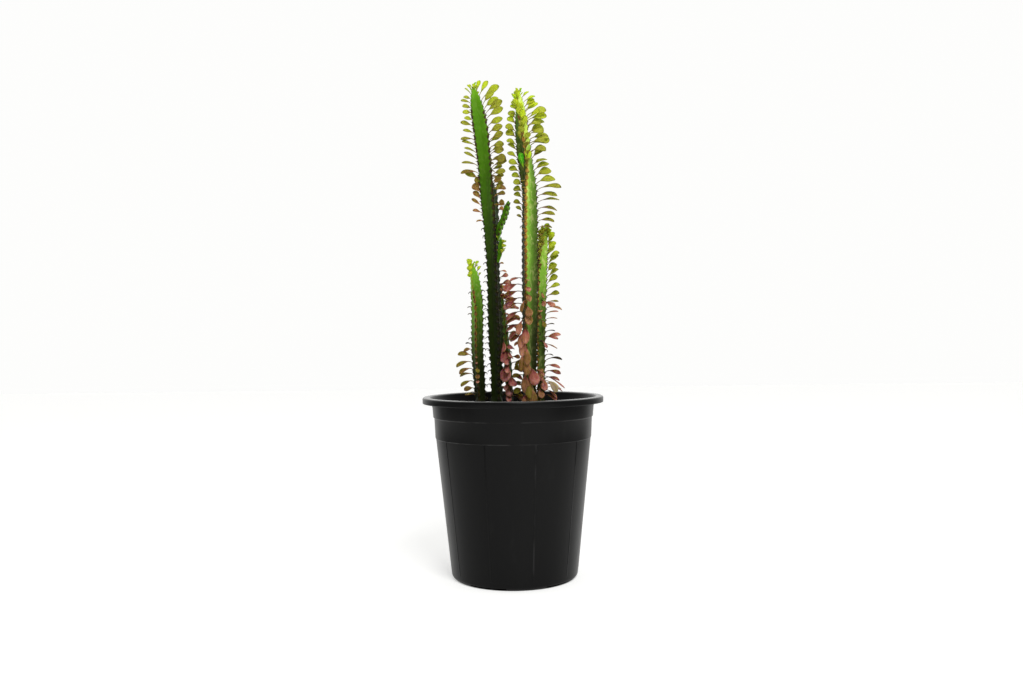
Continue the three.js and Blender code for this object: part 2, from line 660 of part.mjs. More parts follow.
function nodeAt(stem, ridge, height, vary) {
  const rows = stem.ridges[ridge];
  const heading = straight(stem.turn, height, 1) + ridge * 120;
  const girth = smooth(stem.girth, height, 1);
  const ridged = THREE.MathUtils.smoothstep(height, neckTop, ridgedFrom);
  const crest = stem.neck + (girth * 0.97 - stem.neck) * ridged;
  const sunk = Math.min(leafRootSunk, crest * 0.4);
  return {
    length: straight(rows, height, 1) * (1 + lengthVaries * vary[0]),
    width: Math.max(narrowestLeaf, straight(rows, height, 2) * (1 + widthVaries * vary[1])),
    rise: straight(rows, height, 3) + riseVaries * vary[2],
    bend: straight(rows, height, 4) + bendVaries * vary[3],
    roll: straight(rows, height, 5) + rollVaries * vary[4],
    heading: heading + straight(rows, height, 6) + asideVaries * vary[5],
    crestHeading: heading,
    root: centreAt(stem, height).addScaledVector(outward(heading), crest - sunk),
  };
}

// A leaf keeps clear of the other stems and of their leaves: it swings aside, or stays a tooth
const swings = [0, 22, -22, 44, -44];
const feelers = [[0.35, 0.3], [0.55, 0.75], [0.75, 1], [0.9, 0.8], [1, 0.3]];

function feel(leaf) {
  return feelers.map(([share, width]) => ({
    point: leafPoint(leaf, share),
    reach: (width * leaf.width) / 2,
  }));
}

function isClear(touches, ownIndex, placed) {
  for (const { point, reach } of touches) {
    for (let other = 0; other < stems.length; other += 1) {
      const stem = stems[other];
      if (other === ownIndex || point.z > stem.path.at(-1)[0] + 12) continue;
      const centre = centreAt(stem, Math.min(point.z, stem.path.at(-1)[0]));
      const room = smooth(stem.girth, point.z, 1) + toothLength + 1 + reach;
      if (Math.hypot(point.x - centre.x, point.y - centre.y) < room) return false;
    }
    for (const leaf of placed) {
      if (leaf.owner === ownIndex) continue;
      for (const touch of leaf.touches) {
        if (point.distanceTo(touch.point) < reach + touch.reach + leafClearance) return false;
      }
    }
  }
  return true;
}

function growLeaves() {
  const placed = [];
  stems.forEach((stem, owner) => {
    for (const node of nodesOf(stem)) {
      const leaf = { ...node, owner, leafy: false, touches: [] };
      if (node.length >= smallestLeaf) {
        for (const swing of swings) {
          const swung = { ...leaf, heading: node.heading + swing };
          const touches = feel(swung);
          if (!isClear(touches, owner, placed)) continue;
          Object.assign(leaf, swung, { leafy: true, touches });
          break;
        }
      }
      placed.push(leaf);
    }
  });
  return placed;
}

// Side shoot: a small ridged body with a short leaf at each of its nodes
function shootParts(shoot) {
  const stem = { ...shoot, turn: [[0, shoot.heading], [1000, shoot.heading]], neck: 3 };
  const [bottom, top] = [shoot.path[0][0], shoot.path.at(-1)[0]];
  const parts = [];
  const shares = [0, 0.25, 0.5, 0.75, 0.9, 1];
  parts.push(loft(shares.map((share) => bodyRing(stem, bottom + (top - bottom) * share))));
  const draw = draws(Math.round(bottom));
  for (let ridge = 0; ridge < 3; ridge += 1) {
    const first = bottom + 12 + (shoot.spacing * ridge) / 3;
    for (let height = first; height < top - 3; height += shoot.spacing) {
      const heading = shoot.heading + ridge * 120;
      const girth = smooth(shoot.girth, height, 1);
      const root = centreAt(stem, height).addScaledVector(outward(heading), girth * 0.6);
      const leaf = {
        root,
        heading: heading + 20 * draw(),
        length: shoot.leafLength * (1 + 0.2 * draw()),
        width: shoot.leafLength * 0.5,
        rise: 55 + 15 * draw(),
        bend: -35,
        roll: 25 * draw(),
      };
      parts.push(shoot.leafLength > smallestLeaf ? leafLoft(leaf) : toothLoft({ root, heading }));
    }
  }
  return parts;
}

function makeStem(index, grown) {
  const stem = stems[index];
  const parts = [solidFrom(bodyLoft(stem))];
  for (const node of grown) {
    if (node.owner !== index) continue;
    parts.push(solidFrom(node.leafy ? leafLoft(node) : toothLoft({ ...node, heading: node.crestHeading })));
  }
  for (const shoot of stem.shoots) parts.push(...shootParts(shoot).map(solidFrom));
  return mainBody(wasm.Manifold.union(parts));
}

// Materials
function blackPlastic() {
  return new THREE.MeshStandardMaterial({ color: 0x1d1e1f, roughness: 0.42, metalness: 0 });
}

function darkSoil() {
  return new THREE.MeshStandardMaterial({ color: 0x2a2018, roughness: 0.95, metalness: 0 });
}

function greenStem() {
  return new THREE.MeshStandardMaterial({ color: 0x3f7a1c, roughness: 0.5, metalness: 0 });
}

// The whole plant in its pot
function addPiece(group, name, solid, material) {
  const mesh = new THREE.Mesh(geometryFrom(solid), material);
  mesh.name = name;
  group.add(mesh);
}

const pottedEuphorbia = new THREE.Group();
addPiece(pottedEuphorbia, 'pot', makePot(), blackPlastic());
addPiece(pottedEuphorbia, 'potting_soil', makeSoil(), darkSoil());
const grown = growLeaves();
stems.forEach((stem, index) => {
  addPiece(pottedEuphorbia, stem.name, makeStem(index, grown), greenStem());
});

export default pottedEuphorbia;
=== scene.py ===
# A potted euphorbia: five leafy, ridged stems growing in a black plastic nursery pot.
# Metres, +Z up, with the pot's footprint round the origin; tables and outlines are in millimetres.
# A heading is an angle round the vertical: 0 faces the front (-Y) and 90 the right (+X).

import math
from types import SimpleNamespace

import bmesh
import bpy
import numpy as np
from mathutils import Matrix, Vector, noise


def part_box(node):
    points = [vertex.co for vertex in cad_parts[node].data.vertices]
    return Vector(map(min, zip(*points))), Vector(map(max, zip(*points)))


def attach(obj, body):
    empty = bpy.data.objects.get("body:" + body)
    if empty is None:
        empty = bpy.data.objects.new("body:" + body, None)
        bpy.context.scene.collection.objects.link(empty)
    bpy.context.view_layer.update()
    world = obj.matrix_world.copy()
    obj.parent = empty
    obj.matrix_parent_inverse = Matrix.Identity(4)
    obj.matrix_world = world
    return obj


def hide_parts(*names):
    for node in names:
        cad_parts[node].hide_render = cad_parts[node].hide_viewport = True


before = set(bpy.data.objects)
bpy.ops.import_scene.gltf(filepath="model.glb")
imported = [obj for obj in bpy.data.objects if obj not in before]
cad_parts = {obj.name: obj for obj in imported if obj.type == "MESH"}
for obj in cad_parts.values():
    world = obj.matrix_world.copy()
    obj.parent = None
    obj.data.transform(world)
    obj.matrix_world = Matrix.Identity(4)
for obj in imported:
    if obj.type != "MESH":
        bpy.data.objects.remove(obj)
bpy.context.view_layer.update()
scene = bpy.context.scene
MM = 0.001


# Camera
# A level view from 1.5 m in front of the pot's axis, a little above its rim. The picture is
# tipped sideways by under a degree.
image_width = 1023
focal_pixels = 900
camera_distance = 1.5
camera_height = 0.389
camera_aside = -0.0012
camera_roll = math.radians(0.68)

lens = bpy.data.cameras.new("front_view")
lens.sensor_width = 36
lens.lens = focal_pixels / image_width * lens.sensor_width
camera = bpy.data.objects.new("front_view", lens)
camera.location = (camera_aside, -camera_distance, camera_height)
camera.rotation_euler = (math.pi / 2, camera_roll, 0)
scene.collection.objects.link(camera)
scene.camera = camera


# Pot
# A round nursery pot, injection moulded in black polypropylene with a satin face. Its lip turns
# over and down, the wall steps in twice below it, ribs stiffen the lower wall, and wide notches
# between the feet let the water out.
rim_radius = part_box("pot")[1].x / MM
rim_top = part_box("pot")[1].z / MM
rim_height = 10.4
skirt_bottom = rim_top - rim_height
rim_corner = 3.2
under_rim_corner = 5.4
mouth_corner = 5
pot_wall = 2.6
neck_radius = 133.8
band_top = 280
upper_step = 264
lower_step = 230
lower_band_radii = (129.3, 130.9)
lower_wall_radii = (104.9, 128.3)
corner_radius = 8
foot_height = 4
foot_ring_radius = 93.5
opening_radius = 136
pot_sides = 180
rib_count = 10
rib_heading = 15.5
rib_width = 2.6
rib_depth = 3
rib_proud = 0.6
rib_bottom = 13
rib_bevel = 0.5
notch_count = 5
notch_heading = 46.5
notch_width = 63
notch_depth = 30
notch_height = 3.6
drain_circle = 62
drain_radius = 6
drain_depth = 20
crisp_edge = math.radians(38)


def arc(centre_radius, centre_height, radius, start, end, steps):
    """Points of a rounded corner of a turned outline; 0 degrees points outwards."""
    angles = [math.radians(start + (end - start) * i / steps) for i in range(steps + 1)]
    return [(centre_radius + radius * math.cos(a), centre_height + radius * math.sin(a)) for a in angles]


def turned(outline, steps):
    """A closed body turned about the vertical from (radius, height) points that end on the axis."""
    shape = bmesh.new()
    points = [shape.verts.new((radius * MM, 0, height * MM)) for radius, height in outline]
    edges = [shape.edges.new(pair) for pair in zip(points, points[1:])]
    bmesh.ops.spin(
        shape,
        geom=points + edges,
        cent=(0, 0, 0),
        axis=(0, 0, 1),
        angle=2 * math.pi,
        steps=steps,
        use_merge=True,
    )
    bmesh.ops.remove_doubles(shape, verts=shape.verts, dist=1e-6)
    bmesh.ops.recalc_face_normals(shape, faces=shape.faces)
    return shape


def mesh_of(name, shape):
    """The bmesh as a mesh; the bmesh itself is freed."""
    mesh = bpy.data.meshes.new(name)
    shape.to_mesh(mesh)
    shape.free()
    return mesh


def shade_smooth(mesh):
    """Smooth all over, but for the crisp edges."""
    mesh.polygons.foreach_set("use_smooth", [True] * len(mesh.polygons))
    mesh.set_sharp_from_angle(angle=crisp_edge)


def add_piece(name, shape, finish, slot, *nodes):
    """Turns a bmesh into a smooth piece of the object that stands for the named solids."""
    mesh = mesh_of(name, shape)
    shade_smooth(mesh)
    mesh.materials.append(finish)
    piece = bpy.data.objects.new(name, mesh)
    scene.collection.objects.link(piece)
    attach(piece, "root")
    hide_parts(*nodes)
    return piece


def colour(red, green, blue):
    """A colour from its screen values, 0 to 255."""
    shares = [c / 255 for c in (red, green, blue)]
    return [s / 12.92 if s < 0.04045 else ((s + 0.055) / 1.055) ** 2.4 for s in shares] + [1]


class Paint:
    """One socket of a finish. Arithmetic on it adds Math nodes, and node() adds any other node."""

    def __init__(self, tree, socket=None):
        self.tree = tree
        self.socket = socket

    def node(self, kind, settings=None, inputs=None, output=0):
        made = self.tree.nodes.new(kind)
        for name, value in (settings or {}).items():
            if name == "stops":
                self.set_stops(made.color_ramp.elements, value)
            else:
                setattr(made, name, value)
        for name, value in (inputs or {}).items():
            if isinstance(value, Paint):
                self.tree.links.new(value.socket, made.inputs[name])
            else:
                made.inputs[name].default_value = value
        return Paint(self.tree, made.outputs[output] if made.outputs else None)

    def set_stops(self, elements, stops):
        while len(elements) < len(stops):
            elements.new(1)
        for element, (place, shade) in zip(elements, stops):
            element.position = place
            element.color = shade

    def maths(self, operation, first, second):
        return self.node("ShaderNodeMath", {"operation": operation}, {0: first, 1: second})

    def __add__(self, other):
        return self.maths("ADD", self, other)

    def __radd__(self, other):
        return self.maths("ADD", other, self)

    def __sub__(self, other):
        return self.maths("SUBTRACT", self, other)

    def __rsub__(self, other):
        return self.maths("SUBTRACT", other, self)

    def __mul__(self, other):
        return self.maths("MULTIPLY", self, other)

    def __rmul__(self, other):
        return self.maths("MULTIPLY", other, self)

    def __abs__(self):
        return self.node("ShaderNodeMath", {"operation": "ABSOLUTE"}, {0: self})

    def between(self, low, high):
        """0 below low, 1 above high, and smooth between them."""
        return self.node(
            "ShaderNodeMapRange",
            {"interpolation_type": "SMOOTHSTEP"},
            {"Value": self, "From Min": low, "From Max": high},
        )

    def ramp(self, stops):
        return self.node("ShaderNodeValToRGB", {"stops": stops}, {"Fac": self})

    def over(self, under, top):
        """The colour top laid over under, as much as this socket says."""
        return self.node("ShaderNodeMix", {"data_type": "RGBA"}, {0: self, 6: under, 7: top}, output=2)

    def attribute(self, name):
        return self.node("ShaderNodeAttribute", {"attribute_name": name}, output=2)

    def place(self):
        """Where a point lies in the object's own space, in metres."""
        return self.node("ShaderNodeTexCoord", output=3)

    def axis(self, number):
        """One of the three numbers of a place: 0 is x, 1 is y and 2 is z."""
        return self.node("ShaderNodeSeparateXYZ", {}, {0: self}, output=number)

    def grain(self, per_metre, detail, stretch=(1, 1, 1), roughness=0.5, distortion=0.0):
        """Noise in the object's own space; a stretch below 1 draws it out along that axis."""
        scaled = {0: self.place(), 1: stretch}
        return self.node(
            "ShaderNodeTexNoise",
            {},
            {
                "Vector": self.node("ShaderNodeVectorMath", {"operation": "MULTIPLY"}, scaled),
                "Scale": per_metre,
                "Detail": detail,
                "Roughness": roughness,
                "Distortion": distortion,
            },
        )

    def surface(self, values):
        """The shader with these values on its own sockets, joined to the finish's output."""
        shader = self.node("ShaderNodeBsdfPrincipled", {}, values)
        self.node("ShaderNodeOutputMaterial", {}, {"Surface": shader})

    def bump(self, distance, strength):
        return self.node("ShaderNodeBump", {}, {"Height": self, "Distance": distance, "Strength": strength})


def new_finish(name):
    finish = bpy.data.materials.new(name)
    finish.use_nodes = True
    finish.node_tree.nodes.clear()
    return finish, Paint(finish.node_tree)


def black_polypropylene(name, right_highlight):
    """Satin black, with a painted highlight along the lip and broken painted highlight lines at the steps;
    the second argument is how much of these painted highlight lines its right side gets.
    """
    finish, paint = new_finish(name)
    flow = paint.grain(9, 3, (1, 1, 0.18))
    mould_grain = paint.grain(1400, 2)
    scuffs = paint.grain(60, 4, (1, 1, 0.3), 0.6).between(0.55, 0.8)
    place = paint.place()
    aside = place.axis(0)
    height = place.axis(2) * 1000
    # Painted highlights: broken light grey lines along the two steps, fading towards the pot's right, and
    # over the right side as much as the second argument asks.
    at_steps = 0
    for step in (upper_step, lower_step):
        at_steps = 1 - abs(height - step).between(0.3, 1.1) + at_steps
    # Painted highlight: a light grey line along the lip, brighter towards the pot's sides.
    lip_highlight = height.between(rim_top - 1.6, rim_top - 0.5) * (abs(aside).between(0.03, 0.1) * 0.42 + 0.33)
    line_breaks = paint.grain(34, 2, (1, 1, 0.5)).between(0.4, 0.62)
    right_lines = aside.between(-0.02, 0.03) * right_highlight
    highlight_lines = (at_steps * (1 - aside.between(0.0, 0.05) * 0.75) + right_lines) * line_breaks
    shade = flow.ramp([(0.3, colour(7, 7, 7)), (0.7, colour(14, 14, 14))])
    dusty = (scuffs * 0.3).over(shade, colour(26, 26, 26))
    with_highlights = (highlight_lines * 0.6).over(dusty, colour(58, 58, 58))
    paint.surface(
        {
            "Base Color": lip_highlight.over(with_highlights, colour(125, 125, 124)),
            "Roughness": 0.27 + flow * 0.06 + scuffs * 0.1 - lip_highlight * 0.1,
            "Specular IOR Level": 0.13,
            "Normal": (flow * 0.6 + mould_grain * 0.05).bump(0.0006, 0.5),
        }
    )
    return finish


def pot_outline():
    """From the middle of the pot's underside, out, up and over the rim, and back to its middle."""
    inner_step = 0.5
    neck_flare = neck_radius + 2
    base_centre = lower_wall_radii[0] - corner_radius
    return [
        (0, foot_height),
        (foot_ring_radius - 4, foot_height),
        *arc(foot_ring_radius, 0.8, 0.8, 180, 270, 3),
        *arc(base_centre, corner_radius, corner_radius, -90, -6, 8),
        (lower_wall_radii[1], lower_step - 1),
        (lower_wall_radii[1] + 0.2, lower_step - 0.3),
        (lower_band_radii[0], lower_step + 0.3),
        (lower_band_radii[0] + 0.1, lower_step + 1),
        (lower_band_radii[1], upper_step - 1),
        (lower_band_radii[1] + 0.3, upper_step - inner_step),
        (neck_radius - 1.4, upper_step + inner_step),
        (neck_radius - 1.2, upper_step + 1.2),
        (neck_radius, band_top),
        *arc(neck_flare + under_rim_corner, rim_top - pot_wall - 5.5, under_rim_corner, 180, 90, 6),
        (rim_radius - pot_wall, rim_top - pot_wall),
        (rim_radius - pot_wall, skirt_bottom + 0.6),
        *arc(rim_radius - pot_wall / 2, skirt_bottom + 1.2, pot_wall / 2 - 0.1, 200, 360, 5),
        *arc(rim_radius - rim_corner, rim_top - rim_corner, rim_corner, 0, 90, 6),
        *arc(opening_radius + mouth_corner, rim_top - mouth_corner, mouth_corner, 90, 180, 8),
        (neck_flare - pot_wall, skirt_bottom - 1),
        (neck_radius - pot_wall, band_top),
        (neck_radius - 1.2 - pot_wall, upper_step + 1),
        (lower_band_radii[1] - pot_wall, upper_step - 1),
        (lower_band_radii[0] - pot_wall, lower_step + 1),
        (lower_wall_radii[1] - pot_wall, lower_step - 1),
        *arc(base_centre, foot_height + corner_radius, corner_radius - pot_wall, 0, -90, 5),
        (0, foot_height + pot_wall),
    ]


def add_ribs(shape):
    """Ribs lie on the lower wall, their feet above the rounded base."""
    rise = lower_step - 0.5 - rib_bottom
    taper = math.atan2(lower_wall_radii[1] - lower_wall_radii[0], lower_step - corner_radius)
    middle = sum(lower_wall_radii) / 2
    for i in range(rib_count):
        rib = bmesh.ops.create_cube(shape, size=1)["verts"]
        size = Matrix.Diagonal((rib_width * MM, rib_depth * MM, rise / math.cos(taper) * MM, 1))
        sunk = Matrix.Translation((0, (rib_depth / 2 - rib_proud) * MM, 0))
        lean = Matrix.Rotation(taper, 4, "X") @ sunk
        out = Matrix.Translation((0, -middle * MM, (rise / 2 + rib_bottom) * MM))
        turn = Matrix.Rotation(math.radians(rib_heading + 360 / rib_count * i), 4, "Z")
        bmesh.ops.transform(shape, matrix=turn @ out @ lean @ size, verts=rib)
        edges = list({edge for vert in rib for edge in vert.link_edges})
        bmesh.ops.bevel(
            shape,
            geom=edges,
            offset=rib_bevel * MM,
            segments=3,
            profile=0.5,
            affect="EDGES",
            material=-1,
        )


def cut_base(pot):
    """Cuts the notches between the feet and the drain holes out of the pot."""
    cutter = bmesh.new()
    for i in range(notch_count):
        turn = Matrix.Rotation(math.radians(notch_heading + 360 / notch_count * i), 4, "Z")
        notch = bmesh.ops.create_cube(cutter, size=1)["verts"]
        size = Matrix.Diagonal((notch_width * MM, notch_depth * MM, 2 * notch_height * MM, 1))
        out = Matrix.Translation((0, -(foot_ring_radius + 5) * MM, 0))
        bmesh.ops.transform(cutter, matrix=turn @ out @ size, verts=notch)
        hole = bmesh.ops.create_cone(
            cutter,
            segments=32,
            radius1=drain_radius * MM,
            radius2=drain_radius * MM,
            depth=drain_depth * MM,
            cap_ends=True,
        )["verts"]
        out = Matrix.Translation((0, -drain_circle * MM, drain_depth / 4 * MM))
        bmesh.ops.transform(cutter, matrix=turn @ out, verts=hole)
    blocks = bpy.data.objects.new("base_cutter", mesh_of("base_cutter", cutter))
    scene.collection.objects.link(blocks)
    cut = pot.modifiers.new("base", "BOOLEAN")
    cut.operation = "DIFFERENCE"
    cut.object = blocks
    bpy.context.view_layer.update()
    finished = bpy.data.meshes.new_from_object(pot.evaluated_get(bpy.context.evaluated_depsgraph_get()))
    pot.modifiers.clear()
    pot.data = finished
    bpy.data.objects.remove(blocks)
    shade_smooth(finished)


pot_shape = turned(pot_outline(), pot_sides)
pot = add_piece("nursery_pot", pot_shape, black_polypropylene("satin_black", 0), "black_plastic", "pot")
cut_base(pot)

rib_shape = bmesh.new()
add_ribs(rib_shape)
# The ribs' finish adds broken painted highlight lines on the pot's right side.
add_piece("pot_ribs", rib_shape, black_polypropylene("rubbed_black", 0.5), "black_plastic", "pot")


# Potting soil
# Dark, damp compost that fills the pot to a finger below its rim. Its top is uneven, with
# crumbs and small bits of bark lying on it.
soil_top = 271
soil_gap = 0.35
soil_sides = 150
soil_rings = 44
clod_height = 1.1
edge_width = 9
edge_fall = 3
crumb_count = 900
crumb_reach = 124
smallest_crumb = 1.0
largest_crumb = 4.2


def draws(seed):
    """Repeatable draws between -1 and 1, the same here as for the solids."""
    factor, limit = 16807, 2147483647
    state = seed

    def draw():
        nonlocal state
        state = state * factor % limit
        return state / limit * 2 - 1

    return draw


def soil_height(x, y):
    """The soil's top, which rises and falls a little."""
    return soil_top + 1.5 * math.sin(0.07 * x + 1.3) * math.cos(0.06 * y - 0.7)


def compost(name, paler):
    """Damp and nearly black; paler is how much bark shows in it."""
    finish, paint = new_finish(name)
    clods = paint.grain(90, 4, roughness=0.7)
    fibres = paint.grain(420, 3, (1, 0.4, 1), distortion=1.5)
    shade = clods.ramp([(0.3, colour(24, 18, 14)), (0.55, colour(46, 34, 25)), (0.8, colour(78, 60, 44))])
    paint.surface(
        {
            "Base Color": (fibres.between(0.6, 0.75) * 0.5 + clods * paler).over(shade, colour(128, 98, 68)),
            "Roughness": 0.85 + fibres * 0.1,
            "Specular IOR Level": 0.3,
            "Normal": (clods + fibres * 0.6).bump(0.0025, 0.9),
        }
    )
    return finish


def soil_shape():
    edge = lower_band_radii[1] - pot_wall - soil_gap
    corner = corner_radius - pot_wall
    base = lower_wall_radii[0] - corner_radius
    floor_top = foot_height + pot_wall + soil_gap
    top_rings = [(edge * (1 - i / soil_rings), soil_top) for i in range(soil_rings + 1)]
    shape = turned(
        [
            (0, floor_top),
            (base - soil_gap, floor_top),
            (base + corner - soil_gap, floor_top + corner),
            (lower_wall_radii[1] - pot_wall - soil_gap, lower_step - 1),
            (edge, upper_step - 1),
            *top_rings,
        ],
        soil_sides,
    )
    for vert in shape.verts:
        if vert.co.z > (soil_top - 1) * MM:
            x, y = vert.co.x / MM, vert.co.y / MM
            clod = noise.fractal(vert.co * 90, 0.8, 2.1, 4)
            edge_drop = edge_fall * max(0, (math.hypot(x, y) - edge + edge_width) / edge_width) ** 2
            vert.co.z = (soil_height(x, y) + clod_height * clod - edge_drop) * MM
    return shape


def add_crumbs(shape):
    draw = draws(77)
    for _ in range(crumb_count):
        reach = crumb_reach * math.sqrt(abs(draw()))
        heading = math.pi * draw()
        x, y = reach * math.sin(heading), -reach * math.cos(heading)
        size = (smallest_crumb + (largest_crumb - smallest_crumb) * draw() ** 4) * MM
        crumb = bmesh.ops.create_icosphere(shape, subdivisions=1, radius=size)["verts"]
        stretch = Matrix.Diagonal((1 + 0.5 * draw(), 1 + 0.3 * draw(), 0.6, 1))
        turn = Matrix.Rotation(math.pi * draw(), 4, "Z") @ Matrix.Rotation(0.6 * draw(), 4, "X")
        place = Matrix.Translation((x * MM, y * MM, soil_height(x, y) * MM + 0.2 * size))
        bmesh.ops.transform(shape, matrix=place @ turn @ stretch, verts=crumb)


add_piece("potting_soil_body", soil_shape(), compost("damp_compost", 0), "soil", "potting_soil")
crumbs = bmesh.new()
add_crumbs(crumbs)
add_piece("soil_crumbs", crumbs, compost("bark_crumbs", 0.7), "soil", "potting_soil")


# Stems
# Five upright stems, each with three ridges and flat faces between them, bright green where they
# are young and nearly black where they are old, that darkness being partly their own colour and
# partly painted shade; lit faces are painted lighter and shaded ones darker. Each is rooted in the
# soil by a round neck.
neck_top = 279
ridged_from = 302
crest_share = 0.97
face_line = (0.2553, 0.723, 0.3543)
ridge_sharpness = 16
ring_sides = 36
ring_spacing = 2.6
corner_crowding = 0.6
crest_spread = 19
node_spread = 30
hump_height = 2.4
hump_middle = 0.45
full_hump_girth = 12
hump_margin = 6
shade_across_lost = (130, 60)
young_top = (70, 5)
lowest_node = 292
highest_node_below_top = 5
bare_shoot_foot = 12
bare_shoot_tip = 3
crowded_top = 60
crowded_spacing = 0.72
spacing_varies = 0.1
leaf_root_sunk = 1.6
narrowest_leaf = 2.2
smallest_leaf = 8
length_varies = 0.13
width_varies = 0.12
rise_varies = 7
bend_varies = 12
roll_varies = 16
aside_varies = 9
tone_varies = 0.07


class Stem(SimpleNamespace):
    """What one stem is like. These values hold where it has none of its own."""

    hanging = (0, 0, 0)
    swayed = (0, 0, 0)
    shoots = ()

    @property
    def top(self):
        return self.path[-1][0]


class SideShoot(Stem):
    """A young shoot on the side of a stem."""

    neck = 3
    skin = [[0, 0.66, 0.66, 0.5], [1000, 0.78, 0.78, 0.6]]
    crest = [[0, 0.2, 0.2, 0.2], [1000, 0.2, 0.2, 0.2]]
    fade = (0, 0, 0)
    marbled = 0.1


class Leaf(SimpleNamespace):
    """A leaf, or a node without one. These values hold where it has none of its own."""

    # Draws between -1 and 1 that make it differ from its neighbours
    chance = twist = 0
    # Degrees by which it has opened and been swayed
    opened = sway = 0
    # How much longer and wider it has grown than in the solids
    longer = wider = 1
    # 1 for a bleached dry leaf, 0.5 for a dark one, and 1 for one that hangs straight down
    dry = hang = 0
    leafy = False
